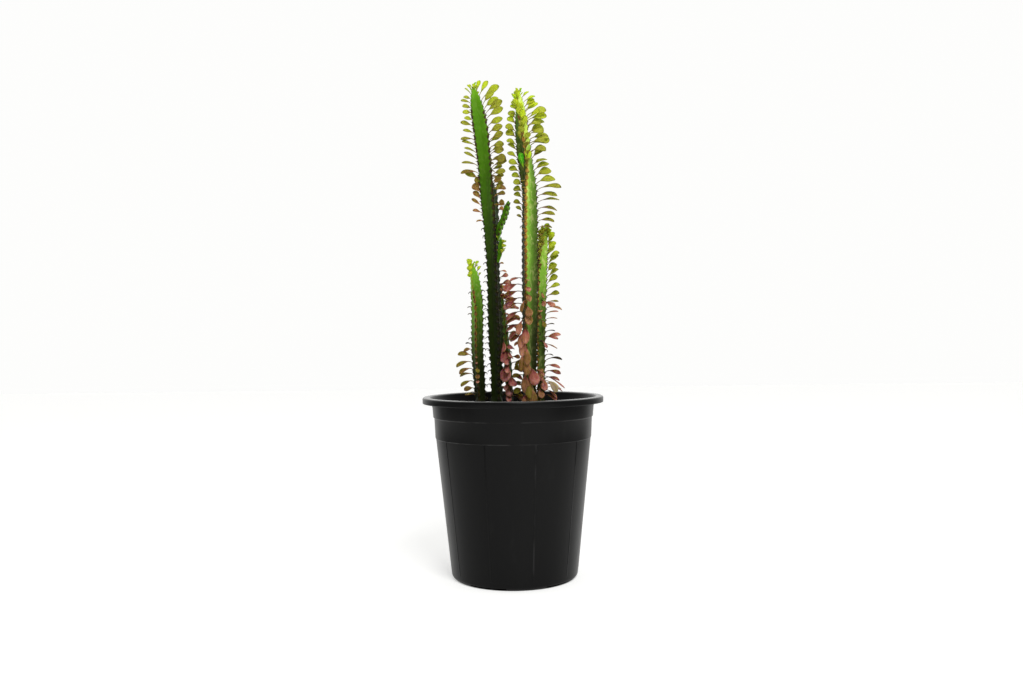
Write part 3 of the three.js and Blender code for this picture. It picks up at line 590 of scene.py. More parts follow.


# Each row of a stem's tables starts with a height. After it come
# in path: x and y; in girth: the radius at the ridges;
# in turn: the heading of the first ridge, with the others 120 and 240 degrees on;
# in ridges: leaf length, leaf width, rise, bend, roll and aside, one list for each ridge;
# in skin: how light each face is, partly the skin's own colour and partly painted light and
# shade on lit and shaded faces and dark lower stems, while the list given after skin, one number
# for each face, is how much painted shade darkens a face across it;
# in crest: how light the cork on each ridge is, from nearly black to tan;
# in leaf_tone: how old the leaves of each ridge look, from lime to burgundy;
# in opened: the degrees by which the leaves of each ridge have opened outwards;
# in growth: for each ridge, how much longer and how much wider than usual its leaves are;
# in single_leaves: heading, length, width, rise, bend, roll, tone and dryness of one leaf.
# hanging is the height below which the leaves of each ridge hang straight down, swayed is how
# many degrees they stand to one side or the other, and marbled is how strong the marbling is.
tall_left = Stem(
    name="tall_left_stem",
    seed=1107,
    neck=11,
    spacing=11.4,
    path=[
        [210, -26, 0], [290, -26, 0], [341, -25.6, 0], [394, -25.7, 0], [449, -27.6, 0],
        [504, -28.9, 0], [573, -30.8, 0], [631, -34, 0], [688, -42, 0], [746, -48.8, 0],
        [813, -59.6, 0],
    ],
    girth=[
        [290, 11], [341, 10.9], [394, 14], [449, 13], [504, 12], [573, 14.2], [631, 16.4],
        [660, 14], [688, 12.6], [746, 13.8], [780, 11.6], [800, 7], [813, 2],
    ],
    turn=[[290, -105], [640, -104], [662, -88], [692, -68], [740, -60], [813, -60]],
    ridges=[
        [
            [560, 0, 0, 50, -40, 0, 0], [572, 0, 0, 50, -40, 0, 0], [588, 15, 3.5, 50, -60, -30, 0],
            [612, 22, 4, 62, -30, -60, 0], [630, 20, 9, 62, -20, -75, 0], [645, 21, 12, 64, -20, -80, 0],
            [660, 34, 8, 55, -85, -60, 0], [676, 32, 6, 55, -75, -50, 0], [694, 27, 7, 62, -40, -60, 0],
            [718, 27, 6, 56, -75, -60, 0], [742, 27, 8, 58, -80, -72, 0], [765, 24, 9, 62, -85, -80, 0],
            [785, 22, 6, 62, -80, -60, 0], [800, 15, 5, 66, -40, -50, 0],
        ],
        [
            [560, 0, 0, 50, -40, 20, 30], [600, 0, 0, 50, -40, 20, 30], [618, 12, 6, 45, -30, 40, 30],
            [645, 22, 10, 55, -60, 55, 25], [662, 30, 10, 58, -72, 72, 15], [682, 30, 12, 60, -60, 80, 5],
            [700, 26, 11, 62, -50, 82, 0], [722, 24, 10, 62, -45, 84, 0], [740, 30, 11, 66, -45, 92, 0],
            [762, 34, 12, 74, -46, 98, 0], [784, 36, 13.5, 82, -46, 100, 0], [798, 24, 10, 84, -20, 80, 0],
            [806, 16, 8, 86, -10, 60, 0],
        ],
        [
            [440, 0, 0, 50, -60, 40, -40], [468, 16, 6, 48, -50, 40, -40], [484, 22, 10, 45, -35, 50, -40],
            [500, 11, 5, 40, -40, 30, -40], [514, 17, 7, 50, -70, 40, -40], [524, 0, 0, 50, -60, 40, -30],
            [590, 0, 0, 50, -50, 40, -30], [604, 12, 7, 40, -30, 50, -30], [636, 15, 8, 45, -40, 50, -25],
            [670, 24, 9, 55, -55, 30, 0], [740, 28, 10, 62, -60, 20, 0], [790, 26, 10, 72, -45, 10, 0],
            [806, 14, 7, 80, -15, 0, 0],
        ],
    ],
    skin=[
        [290, 0.15, 0.13, 0.12], [340, 0.18, 0.15, 0.12], [400, 0.19, 0.14, 0.12], [470, 0.18, 0.12, 0.1],
        [520, 0.23, 0.14, 0.12], [560, 0.31, 0.18, 0.16], [600, 0.39, 0.22, 0.3], [650, 0.46, 0.26, 0.4],
        [700, 0.5, 0.38, 0.5], [760, 0.54, 0.5, 0.55], [790, 0.58, 0.58, 0.62], [813, 0.8, 0.84, 0.84],
    ],
    fade=[0.06, 0, 0],
    crest=[[290, 0.02, 0, 0.02], [560, 0.04, 0.02, 0.1], [640, 0.12, 0.14, 0.3], [813, 0.25, 0.3, 0.3]],
    opened=[[560, -8, 0, 0], [640, -8, 0, 0], [700, -8, 16, 10]],
    marbled=0.1,
    leaf_tone=[
        [460, 0.7, 0.7, 0.9], [490, 0.7, 0.7, 0.85], [512, 0.7, 0.7, 0.62], [590, 0.5, 0.52, 0.6],
        [612, 0.6, 0.5, 0.6], [635, 0.56, 0.44, 0.56], [655, 0.44, 0.38, 0.52], [680, 0.36, 0.31, 0.45],
        [730, 0.3, 0.26, 0.3], [780, 0.2, 0.16, 0.2], [813, 0.04, 0.02, 0.04],
    ],
    growth=[
        [560, 1, 1, 1.1, 1.1, 1, 1], [612, 1.15, 1.3, 1.1, 1.1, 1.1, 1.1],
        [650, 1.15, 0.95, 1.1, 1, 1.15, 1.1], [690, 1.05, 0.76, 1.12, 0.92, 1.1, 1],
        [740, 0.95, 0.76, 1.22, 0.82, 1.1, 1],
        [784, 0.95, 0.76, 1.15, 0.82, 1, 0.9], [813, 1, 0.9, 1, 0.9, 1, 0.9],
    ],
    single_leaves=[
        [612, 62, 20, 8, 50, -60, 50, 0.5, 0], [630, 70, 21, 9, 46, -50, 55, 0.44, 0],
        [644, 58, 23, 9, 46, -50, 60, 0.4, 0], [657, 72, 24, 10, 48, -46, 55, 0.36, 0],
        [671, 62, 24, 10, 48, -46, 60, 0.34, 0], [686, 72, 23, 10, 50, -46, 55, 0.3, 0],
        [701, 60, 25, 11, 52, -46, 60, 0.26, 0], [717, 72, 24, 10, 56, -46, 60, 0.24, 0],
    ],
    shoots=[
        SideShoot(
            path=[[556, -22.5, 0], [575, -19.5, -1], [598, -9.8, -3], [622, -3.4, -4]],
            girth=[[556, 3.5], [568, 5.8], [604, 6.2], [616, 4.6], [622, 1.2]],
            turn=[[0, 10], [1000, 10]],
            spacing=8,
            leaf_length=0,
        ),
        SideShoot(
            path=[[520, -22, 0], [534, -18.4, -1], [552, -16.8, -2], [562, -16.6, -2]],
            girth=[[520, 3], [534, 4.6], [552, 4], [562, 1]],
            turn=[[0, 40], [1000, 40]],
            spacing=9,
            leaf_length=13,
        ),
    ],
)

tall_right = Stem(
    name="tall_right_stem",
    seed=2233,
    neck=11.5,
    spacing=10.8,
    path=[
        [210, 26.2, -12], [290, 26.2, -12], [340, 26.8, -12], [400, 27.4, -12], [456, 28.1, -12],
        [570, 29.2, -12], [646, 29.4, -12], [704, 23.8, -12], [752, 18.6, -12], [801, 14.6, -12],
    ],
    girth=[
        [290, 11.5], [340, 13], [400, 14.4], [456, 14.9], [570, 15.2], [646, 13.8], [704, 13.2],
        [752, 11], [780, 7.8], [796, 3.8], [801, 1.5],
    ],
    turn=[[290, -20], [640, -20], [668, 0], [692, 8], [735, 0], [770, -18], [801, -24]],
    ridges=[
        [
            [292, 22, 9, 5, -50, 10, 35], [306, 30, 10, 15, -95, 10, 25], [322, 32, 14, 25, -100, 8, 28],
            [345, 28, 12, 20, -100, 5, 20], [372, 26, 9, 15, -100, -5, -5], [400, 28, 10, 20, -105, -10, -5],
            [430, 27, 10, 25, -105, 5, 0], [455, 22, 9, 15, -90, 10, 25], [480, 16, 8, 25, -60, 0, 30],
            [500, 0, 0, 30, -40, 0, 0], [520, 9, 5, 30, -40, 0, 0], [570, 13, 6, 35, -45, 0, 0],
            [590, 15, 7.5, 42, -55, 0, 0], [640, 16, 8, 48, -60, 0, 0], [675, 19, 10, 58, -45, 10, 0],
            [700, 24, 11, 64, -40, 12, 0], [735, 26, 11, 72, -35, -14, -10], [765, 25, 11, 76, -25, 10, 0],
            [788, 20, 10, 82, -12, -10, 0], [797, 15, 8, 86, -6, 0, 0],
        ],
        [
            [300, 0, 0, 40, -60, 40, 0], [320, 14, 5, 30, -50, 40, -40], [345, 12, 5, 30, -40, 40, -40],
            [360, 0, 0, 40, -60, 40, 0], [556, 0, 0, 40, -60, 40, 0], [574, 24, 7, 42, -66, 38, 0],
            [590, 30, 8, 40, -82, 34, 0], [606, 37, 7, 38, -72, 28, 0], [622, 36, 9, 42, -66, 34, 0],
            [640, 37, 11, 44, -56, 38, 0], [662, 33, 11, 46, -52, 38, 0], [690, 29, 9, 46, -48, 34, 0],
            [700, 28, 10, 48, -46, 52, 0], [714, 30, 13, 50, -42, 62, 0], [738, 28, 12, 50, -46, 58, 0],
            [758, 25, 10, 54, -46, 52, 0], [776, 20, 7, 62, -40, 50, 0], [792, 16, 7, 72, -30, 40, 0],
        ],
        [
            [300, 0, 0, 40, -60, -30, 35], [306, 20, 9, 25, -60, -45, 35], [322, 18, 8, 25, -70, -40, 35],
            [338, 16, 7, 25, -50, -40, 35], [352, 15, 7, 25, -45, -40, 35], [366, 0, 0, 40, -60, -40, 35],
            [378, 0, 0, 40, -60, -40, 35], [388, 25, 9, 38, -86, -50, 35], [412, 28, 9, 30, -60, -45, 35],
            [436, 31, 9, 30, -66, -50, 35], [456, 31, 10, 32, -72, -50, 35], [482, 30, 10, 34, -76, -50, 35],
            [496, 18, 7, 36, -60, -40, 30], [504, 0, 0, 40, -60, -40, 20], [566, 0, 0, 40, -60, -40, 20],
            [584, 10, 5, 35, -30, -40, 20], [606, 15, 7, 38, -30, -45, 20], [640, 18, 10, 40, -35, -55, 20],
            [680, 19, 10, 45, -40, -55, 10], [706, 18, 8, 45, -40, -50, 0], [724, 22, 11, 48, -45, -60, 0],
            [744, 21, 10, 50, -45, -55, 10], [764, 18, 8, 60, -40, -45, 10], [790, 15, 8, 76, -20, -30, 0],
        ],
    ],
    skin=[
        [290, 0.36, 0.2, 0.12], [330, 0.44, 0.25, 0.14], [385, 0.5, 0.3, 0.15], [440, 0.66, 0.35, 0.16],
        [520, 0.77, 0.4, 0.18], [600, 0.85, 0.45, 0.22], [660, 0.95, 0.5, 0.3], [720, 0.98, 0.6, 0.4],
        [801, 0.97, 0.9, 0.8],
    ],
    fade=[0.5, 0, 0.05],
    crest=[
        [290, 0.4, 0.15, 0.1], [380, 0.34, 0.15, 0.1], [440, 0.4, 0.2, 0.12], [500, 0.5, 0.2, 0.14],
        [560, 0.7, 0.2, 0.15], [700, 0.8, 0.3, 0.2], [760, 0.6, 0.4, 0.3], [801, 0.3, 0.3, 0.3],
    ],
    hanging=(420, 0, 0),
    opened=[[292, 4, 0, 0], [480, 4, 0, 0], [560, 0, -12, -12], [690, 0, -12, -14], [712, 0, 0, -16]],
    swayed=(34, 0, 0),
    marbled=0.62,
    leaf_tone=[
        [292, 0.5, 0.5, 0.5], [312, 0.6, 0.5, 0.45], [325, 0.46, 0.5, 0.45], [337, 0.6, 0.5, 0.45],
        [350, 0.72, 0.5, 0.45], [364, 0.6, 0.5, 0.5], [378, 0.56, 0.6, 0.9], [392, 0.62, 0.6, 0.9],
        [418, 0.72, 0.6, 0.9], [440, 0.5, 0.6, 0.92], [458, 0.62, 0.6, 0.86], [480, 0.76, 0.6, 0.9],
        [540, 0.5, 0.5, 0.56],
        [600, 0.42, 0.33, 0.28], [660, 0.4, 0.26, 0.24], [700, 0.32, 0.22, 0.22], [730, 0.1, 0.16, 0.2],
        [770, 0.02, 0.1, 0.1], [801, -0.04, 0.02, 0.02],
    ],
    growth=[
        [292, 1.12, 0.85, 1, 1, 1, 1], [480, 1.12, 0.85, 1, 1, 1, 1], [560, 0.75, 0.6, 1.15, 1.25, 1.2, 0.96],
        [690, 0.75, 0.6, 1.2, 1.2, 1.25, 0.96], [712, 0.9, 0.78, 1.45, 1.04, 1.25, 0.96],
        [760, 0.95, 0.74, 1.4, 1.06, 1.1, 0.9], [785, 1, 0.76, 1.15, 1, 1, 0.9],
        [801, 1, 0.8, 1, 1, 1, 0.9],
    ],
    single_leaves=[
        [664, -56, 36, 14, 80, -8, 26, -0.24, 0], [674, 10, 28, 12, 84, -10, 0, 0.0, 0],
        [768, 95, 25, 8, 54, -12, 60, 0.04, 0], [754, 98, 30, 8, 42, -8, 60, 0.12, 0],
        [712, -30, 24, 10, 78, -10, 20, 0.2, 0], [736, 20, 24, 11, 80, -12, -20, 0.1, 0],
        [743, 110, 29, 11, 46, -34, 60, 0.14, 0], [729, 106, 31, 12, 42, -34, 62, 0.2, 0],
        [715, 110, 31, 12, 40, -34, 60, 0.24, 0], [701, 106, 31, 12, 38, -34, 62, 0.26, 0],
    ],
)

short_left = Stem(
    name="short_left_stem",
    seed=3319,
    neck=9,
    spacing=10.4,
    path=[
        [210, -54.5, -6], [290, -54.5, -6], [323, -56, -6], [378, -58.8, -6], [449, -58.4, -6],
        [490, -62, -6], [517, -66, -6],
    ],
    girth=[[290, 9.2], [323, 10.8], [378, 11], [449, 11], [480, 10.2], [502, 7.8], [513, 4], [517, 1.5]],
    turn=[[290, -8], [440, -8], [517, -30]],
    ridges=[
        [
            [294, 0, 0, 20, -40, 0, 0], [306, 0, 0, 20, -40, 0, 0], [322, 14, 6, 20, -60, 0, 15],
            [345, 15, 6.5, 28, -70, 0, 15], [368, 13, 6, 30, -60, 0, 15], [380, 0, 0, 30, -60, 0, 0],
            [480, 0, 0, 60, -20, 0, 0], [496, 10, 6, 62, -20, 0, 0], [506, 13, 7, 66, -10, 0, 0],
        ],
        [
            [294, 0, 0, 40, -60, 30, 0], [480, 0, 0, 60, -30, 30, 0], [494, 9, 5, 60, -20, 20, 0],
            [504, 13, 7, 70, -15, 20, 0],
        ],
        [
            [292, 15, 6, 30, -50, -40, 40], [310, 20, 8, 35, -75, -45, 40], [328, 25, 8, 45, -100, -40, 40],
            [345, 27, 9, 46, -90, -45, 40], [362, 28, 9, 46, -80, -45, 40], [374, 17, 6, 46, -85, -40, 40],
            [384, 11, 3, 46, -70, -40, 40], [390, 0, 0, 50, -60, -40, 0], [478, 0, 0, 60, -40, -40, 0],
            [490, 10, 5, 55, -10, -30, 20], [504, 17, 9, 60, -5, -40, 30],
        ],
    ],
    skin=[
        [290, 0.08, 0.08, 0.08], [335, 0.12, 0.1, 0.16], [358, 0.2, 0.16, 0.26], [385, 0.3, 0.22, 0.42],
        [420, 0.4, 0.3, 0.55], [470, 0.54, 0.4, 0.7], [517, 0.8, 0.8, 1],
    ],
    fade=[0.06, 0, 0],
    crest=[[290, 0.1, 0.05, 0.1], [370, 0.3, 0.1, 0.2], [400, 0.46, 0.2, 0.3], [517, 0.5, 0.3, 0.5]],
    opened=[[290, 0, 0, -14], [517, 0, 0, -14]],
    marbled=0.3,
    leaf_tone=[
        [292, 0.6, 0.5, 0.5], [312, 0.7, 0.5, 0.52], [328, 0.7, 0.5, 0.52], [338, 0.36, 0.5, 0.52],
        [346, 0.36, 0.4, 0.5], [356, 0.7, 0.4, 0.5], [384, 0.4, 0.4, 0.44], [480, 0.1, 0.1, 0.1],
        [517, 0.02, 0.02, 0.02],
    ],
    growth=[
        [292, 0.8, 0.6, 1, 1, 0.95, 0.85], [320, 0.7, 0.5, 1, 1, 0.95, 0.85],
        [334, 0.95, 0.75, 1, 1, 0.95, 0.85], [344, 0.95, 0.75, 1, 1, 0.95, 0.85],
        [352, 0.45, 0.35, 1, 1, 0.96, 0.9], [380, 0.45, 0.35, 1, 1, 0.96, 0.9],
        [400, 1, 1, 1, 1, 0.97, 0.9], [517, 1, 1, 1, 1, 1, 1],
    ],
    single_leaves=[[303, -100, 18, 2.4, 40, -100, 0, 0.5, 1]],
)

middle_right = Stem(
    name="middle_right_stem",
    seed=4409,
    neck=7.5,
    spacing=9.8,
    path=[
        [210, 46, 14], [290, 46, 14], [323, 46.4, 14], [398, 47.4, 14], [490, 50, 14],
        [521, 50.6, 14], [578, 57, 14],
    ],
    girth=[[290, 7.5], [323, 8], [398, 8.6], [490, 9.6], [521, 10.2], [552, 7.8], [572, 4], [578, 1.5]],
    turn=[[290, -36], [480, -34], [578, -30]],
    ridges=[
        [
            [292, 20, 9, 5, -60, 10, 0], [304, 24, 9, 10, -80, 10, 10], [330, 26, 9, 5, -75, 25, 60],
            [346, 20, 8, -5, -60, 30, 60], [352, 0, 0, 0, -60, 20, 0], [380, 0, 0, 40, -60, 20, 0],
            [392, 22, 9, 30, -60, 30, 20], [402, 0, 0, 40, -60, 20, 0], [432, 10, 5, 40, -50, 10, 0],
            [445, 18, 9, 30, -50, 10, 10], [470, 14, 8, 45, -50, 10, 0], [500, 15, 8, 52, -50, 0, 0],
            [540, 17, 9, 62, -40, 0, 0], [560, 17, 9, 74, -25, 0, 0], [574, 13, 7, 84, -10, 0, 0],
        ],
        [
            [292, 26, 8, 35, -100, 40, 0], [306, 32, 6, 10, -70, 40, 0], [318, 32, 8, 25, -60, 45, 0],
            [332, 28, 8, 42, -76, 45, 0], [346, 30, 8, 44, -70, 45, 0], [358, 31, 3.5, 40, -82, 30, 0],
            [368, 0, 0, 40, -60, 40, 0], [380, 0, 0, 40, -60, 40, 0], [390, 32, 8, 22, -36, 45, 0],
            [400, 20, 4, 35, -60, 30, 0], [408, 14, 2.5, 40, -60, 20, 0], [430, 22, 2.5, 36, -70, 10, 0],
            [442, 28, 7, 38, -66, 30, 0], [452, 18, 3, 34, -40, 30, 0], [464, 20, 7, 42, -46, 30, 0],
            [486, 22, 9, 48, -44, 34, 0], [506, 26, 11, 58, -36, 38, 0], [530, 25, 10.5, 62, -32, 38, 0],
            [552, 22, 10, 66, -30, 40, 0], [570, 16, 8, 78, -20, 40, 0],
        ],
        [
            [300, 18, 6, 30, -60, -30, 0], [330, 20, 7, 30, -60, -30, 0], [360, 0, 0, 40, -60, -30, 0],
            [430, 0, 0, 40, -60, -30, 0], [450, 14, 6, 40, -50, -30, 0], [500, 20, 8, 50, -45, -30, 0],
            [550, 18, 8, 62, -30, -20, 0], [574, 12, 6, 84, -10, 0, 0],
        ],
    ],
    skin=[
        [290, 0.3, 0.3, 0.2], [340, 0.36, 0.35, 0.2], [380, 0.38, 0.4, 0.25], [440, 0.5, 0.45, 0.3],
        [490, 0.74, 0.55, 0.4], [578, 0.85, 0.8, 0.8],
    ],
    fade=[0.1, 0, 0],
    crest=[[290, 0.5, 0.3, 0.2], [430, 0.6, 0.3, 0.2], [480, 0.75, 0.3, 0.3], [578, 0.5, 0.4, 0.4]],
    opened=[[290, 0, -12, 0], [578, 0, -12, 0]],
    swayed=(10, 0, 0),
    marbled=0.6,
    leaf_tone=[
        [292, 0.4, 0.95, 0.6], [306, 0.62, 0.82, 0.6], [320, 0.7, 0.9, 0.6], [335, 0.76, 0.96, 0.6],
        [346, 0.78, 0.86, 0.6], [392, 0.8, 0.84, 0.6], [410, 0.6, 0.6, 0.6], [445, 0.68, 0.72, 0.5],
        [458, 0.6, 0.26, 0.4], [500, 0.52, 0.21, 0.34], [550, 0.36, 0.14, 0.24], [578, 0.1, 0.06, 0.1],
    ],
    growth=[[292, 0.9, 0.8, 0.85, 0.65, 1, 1], [360, 1, 1, 0.9, 0.7, 1, 1], [430, 1, 1, 1.05, 1.2, 1, 1]],
    single_leaves=[
        [343, 8, 17, 9, -30, -40, 10, 0.82, 0], [385, 66, 24, 5, -4, -24, -20, 0.84, 0],
        [390, 34, 18, 8, -8, -50, -20, 0.8, 0], [395, 58, 27, 6, 16, -34, 30, 0.86, 0],
        [424, 26, 17, 7, -14, -40, 35, 0.46, 0], [437, -12, 12, 7, -30, -50, -40, 0.6, 0],
        [453, 44, 27, 9, 14, -44, 35, 0.72, 0], [457, 16, 20, 8, 4, -50, 50, 0.7, 0],
        [470, 10, 15, 7, -4, -50, -35, 0.6, 0], [487, -16, 16, 8, 20, -60, 40, 0.56, 0],
        [496, -24, 15, 8, 66, -50, -15, 0.44, 0], [507, -10, 17, 8, 66, -50, 20, 0.5, 0],
        [518, -20, 18, 10, 66, -50, -25, 0.3, 0], [529, -12, 20, 10, 66, -50, 25, 0.34, 0],
        [540, -24, 20, 10, 68, -50, -15, 0.2, 0], [551, 0, 20, 10, 68, -50, 15, 0.16, 0],
        [322, 62, 36, 12, 10, -96, 62, 0.5, 1], [306, 72, 34, 2.6, 44, -80, 0, 0.5, 1],
        [330, 78, 36, 4, -8, -34, 20, 0.78, 0], [318, 84, 30, 3.4, 2, -40, 20, 0.74, 0],
    ],
)

thin_middle = Stem(
    name="thin_middle_stem",
    seed=5521,
    neck=6.5,
    spacing=11,
    path=[
        [210, -5, 7], [290, -5, 7], [340, -6.6, 10], [407, -12.2, 19], [458, -17.4, 28],
        [480, -20.4, 32],
    ],
    girth=[[290, 6.6], [340, 7.4], [407, 7.2], [450, 6.4], [470, 4.6], [480, 1.5]],
    turn=[[290, 8], [480, 20]],
    ridges=[
        [
            [292, 20, 10, 10, -80, -15, -20], [306, 26, 12, 10, -95, -15, -15],
            [318, 28, 12, 10, -95, -15, -10], [330, 31, 18, 30, -110, -10, -10],
            [344, 24, 13, 20, -85, -15, 10], [358, 24, 13, 15, -70, -20, 0],
            [378, 20, 12, 15, -75, -20, -35], [392, 20, 12, 15, -75, -20, -35], [404, 14, 7, 20, -60, -20, 0],
            [440, 14, 7, 35, -60, 10, 0], [470, 12, 7, 65, -30, 0, 0],
        ],
        [
            [292, 16, 8, 25, -60, 45, -20], [330, 16, 8, 25, -60, 50, -20], [352, 22, 10, 25, -70, 50, -30],
            [376, 0, 0, 30, -60, 40, -30], [398, 12, 5, 25, -60, 55, -30], [410, 20, 10, 20, -60, 55, -30],
            [424, 22, 9, 20, -50, 50, -30], [440, 22, 10, 30, -60, 50, -30], [456, 20, 10, 35, -60, 50, -30],
            [470, 16, 8, 60, -30, 30, 0],
        ],
        [
            [292, 0, 0, 25, -60, -40, 0], [310, 12, 6, 25, -60, -40, 0], [380, 13, 6, 30, -60, -40, 0],
            [440, 13, 6, 40, -60, -40, 0], [470, 12, 6, 65, -30, -20, 0],
        ],
    ],
    skin=[[290, 0.2, 0.2, 0.2], [340, 0.3, 0.3, 0.3], [380, 0.4, 0.4, 0.4], [480, 0.46, 0.46, 0.46]],
    fade=[0, 0, 0],
    crest=[[290, 0.4, 0.4, 0.4], [480, 0.4, 0.4, 0.4]],
    hanging=(460, 0, 0),
    opened=[[290, -20, -8, 0], [480, -20, -8, 0]],
    swayed=(24, 0, 0),
    marbled=0.3,
    leaf_tone=[
        [292, 0.98, 0.9, 0.9], [326, 0.96, 0.9, 0.9], [338, 0.84, 0.9, 0.9], [358, 0.82, 0.9, 0.9],
        [370, 0.88, 0.9, 0.9], [380, 0.8, 0.9, 0.86], [392, 0.82, 0.9, 0.86], [410, 0.95, 0.94, 0.9],
        [425, 0.6, 0.62, 0.7], [440, 0.82, 0.84, 0.8], [470, 0.8, 0.8, 0.8],
    ],
    growth=[
        [292, 0.8, 0.7, 1, 1, 1, 1], [350, 0.75, 0.65, 1, 1, 1, 1], [380, 0.8, 0.8, 1, 1, 1, 1],
        [400, 1.05, 1.1, 1, 0.9, 1, 1], [430, 1.05, 0.85, 1.05, 0.7, 1, 0.8], [480, 1, 0.8, 1, 0.7, 1, 0.8],
    ],
    single_leaves=[
        [396, -22, 27, 14, -34, -42, 0, 0.78, 0], [384, -10, 30, 19, -50, -30, -15, 0.86, 0],
        [362, -12, 38, 19, -56, -24, 10, 0.79, 0], [326, -14, 20, 12, -56, -15, 0, 0.98, 0],
    ],
)

stems = [tall_left, tall_right, short_left, middle_right, thin_middle]


def row_below(rows, at):
    """The number of the last row that is not above a height."""
    i = 0
    while i < len(rows) - 2 and at > rows[i + 1][0]:
        i += 1
    return i


def share_between(rows, at, i):
    """How far a height lies from row i towards the next, from 0 to 1."""
    return min(1, max(0, (at - rows[i][0]) / (rows[i + 1][0] - rows[i][0])))


def straight(rows, at, column):
    """The value at a height, running evenly from row to row."""
    i = row_below(rows, at)
    return rows[i][column] + (rows[i + 1][column] - rows[i][column]) * share_between(rows, at, i)


def smooth(rows, at, column):
    """The value at a height, on a smooth curve through the rows."""
    i = row_below(rows, at)
    span = rows[i + 1][0] - rows[i][0]
    t = share_between(rows, at, i)

    def slope(k):
        low, high = max(k - 1, 0), min(k + 1, len(rows) - 1)
        return (rows[high][column] - rows[low][column]) / (rows[high][0] - rows[low][0])

    t2, t3 = t * t, t * t * t
    return (
        rows[i][column] * (2 * t3 - 3 * t2 + 1)
        + slope(i) * span * (t3 - 2 * t2 + t)
        + rows[i + 1][column] * (3 * t2 - 2 * t3)
        + slope(i + 1) * span * (t3 - t2)
    )


def smooth_step(value, low, high):
    share = min(1, max(0, (value - low) / (high - low)))
    return share * share * (3 - 2 * share)


def outward(heading):
    """The level direction of a heading."""
    angle = math.radians(heading)
    return np.array([math.sin(angle), -math.cos(angle), 0])


def centre_at(stem, height):
    return np.array([smooth(stem.path, height, 1), smooth(stem.path, height, 2), height])


def node_at(stem, ridge, height, vary):
    """The leaf that a ridge would grow at a height; vary is six draws."""
    rows = stem.ridges[ridge]
    heading = straight(stem.turn, height, 1) + ridge * 120
    ridged = smooth_step(height, neck_top, ridged_from)
    crest = stem.neck + (smooth(stem.girth, height, 1) * crest_share - stem.neck) * ridged
    sunk = min(leaf_root_sunk, crest * 0.4)
    return Leaf(
        ridge=ridge,
        height=height,
        length=straight(rows, height, 1) * (1 + length_varies * vary[0]),
        width=max(narrowest_leaf, straight(rows, height, 2) * (1 + width_varies * vary[1])),
        rise=straight(rows, height, 3) + rise_varies * vary[2],
        bend=straight(rows, height, 4) + bend_varies * vary[3],
        roll=straight(rows, height, 5) + roll_varies * vary[4],
        heading=heading + straight(rows, height, 6) + aside_varies * vary[5],
        crest_heading=heading,
        root=centre_at(stem, height) + outward(heading) * (crest - sunk),
        tone=straight(stem.leaf_tone, height, 1 + ridge) + tone_varies * vary[1],
        chance=vary[0],
        twist=vary[3],
        opened=straight(stem.opened, height, 1 + ridge),
        sway=stem.swayed[ridge] * vary[3],
        longer=straight(stem.growth, height, 1 + 2 * ridge),
        wider=straight(stem.growth, height, 2 + 2 * ridge),
        hang=1 if height < stem.hanging[ridge] else 0,
    )


def nodes_of(stem):
    """The places up each ridge where a leaf or a tooth grows."""
    draw = draws(stem.seed)
    nodes = []
    for ridge in range(3):
        height = lowest_node + stem.spacing * ridge / 3
        while height < stem.top - highest_node_below_top:
            vary = [draw() for _ in range(6)]
            nodes.append(node_at(stem, ridge, height, vary))
            closing = crowded_spacing if height > stem.top - crowded_top else 1
            height += stem.spacing * closing * (1 + spacing_varies * vary[5])
    return nodes


def shoot_nodes(shoot):
    """A side shoot's nodes, a spacing apart up its three ridges."""
    bottom = shoot.path[0][0]
    draw = draws(round(bottom))
    nodes = []
    for ridge in range(3):
        height = bottom + bare_shoot_foot + shoot.spacing * ridge / 3
        while height < shoot.top - bare_shoot_tip:
            heading = straight(shoot.turn, height, 1) + ridge * 120
            girth = smooth(shoot.girth, height, 1)
            nodes.append(
                Leaf(
                    ridge=ridge,
                    height=height,
                    root=centre_at(shoot, height) + outward(heading) * girth * 0.75,
                    crest_heading=heading,
                    heading=heading + 20 * draw(),
                    length=shoot.leaf_length * (1 + 0.2 * draw()),
                    width=shoot.leaf_length * 0.5,
                    rise=55 + 15 * draw(),
                    bend=-35,
                    roll=25 * draw(),
                    tone=0.12,
                    leafy=shoot.leaf_length > smallest_leaf,
                )
            )
            height += shoot.spacing
    return nodes


def hump_at(heights, height):
    """1 at a node of the ridge, falling to 0 half way to the next."""
    if len(heights) < 2 or height < heights[0] - hump_margin or height > heights[-1] + hump_margin:
        return 0
    nearest = min(range(len(heights)), key=lambda i: abs(heights[i] - height))
    step = heights[1] - heights[0] if nearest == 0 else heights[nearest] - heights[nearest - 1]
    away = min(1, abs(height - heights[nearest]) / (step / 2))
    return (0.5 + 0.5 * math.cos(math.pi * away)) ** 1.6


def section_radius(degrees_off_ridge):
    """The stem's outline as a share of its girth: flat faces that meet in rounded ridges."""
    off = math.radians(degrees_off_ridge)
    along, across, distance = face_line
    face = distance / (along * math.cos(off) + across * math.sin(off))
    return (face**-ridge_sharpness + 1) ** (-1 / ridge_sharpness)


body_layers = ("shade", "ridge", "node", "young", "middle", "cork", "marbled")


def new_shape(layer_names):
    """An empty bmesh whose points carry these numbers for the finish to read."""
    shape = bmesh.new()
    for name in layer_names:
        shape.verts.layers.float.new(name)
    return shape


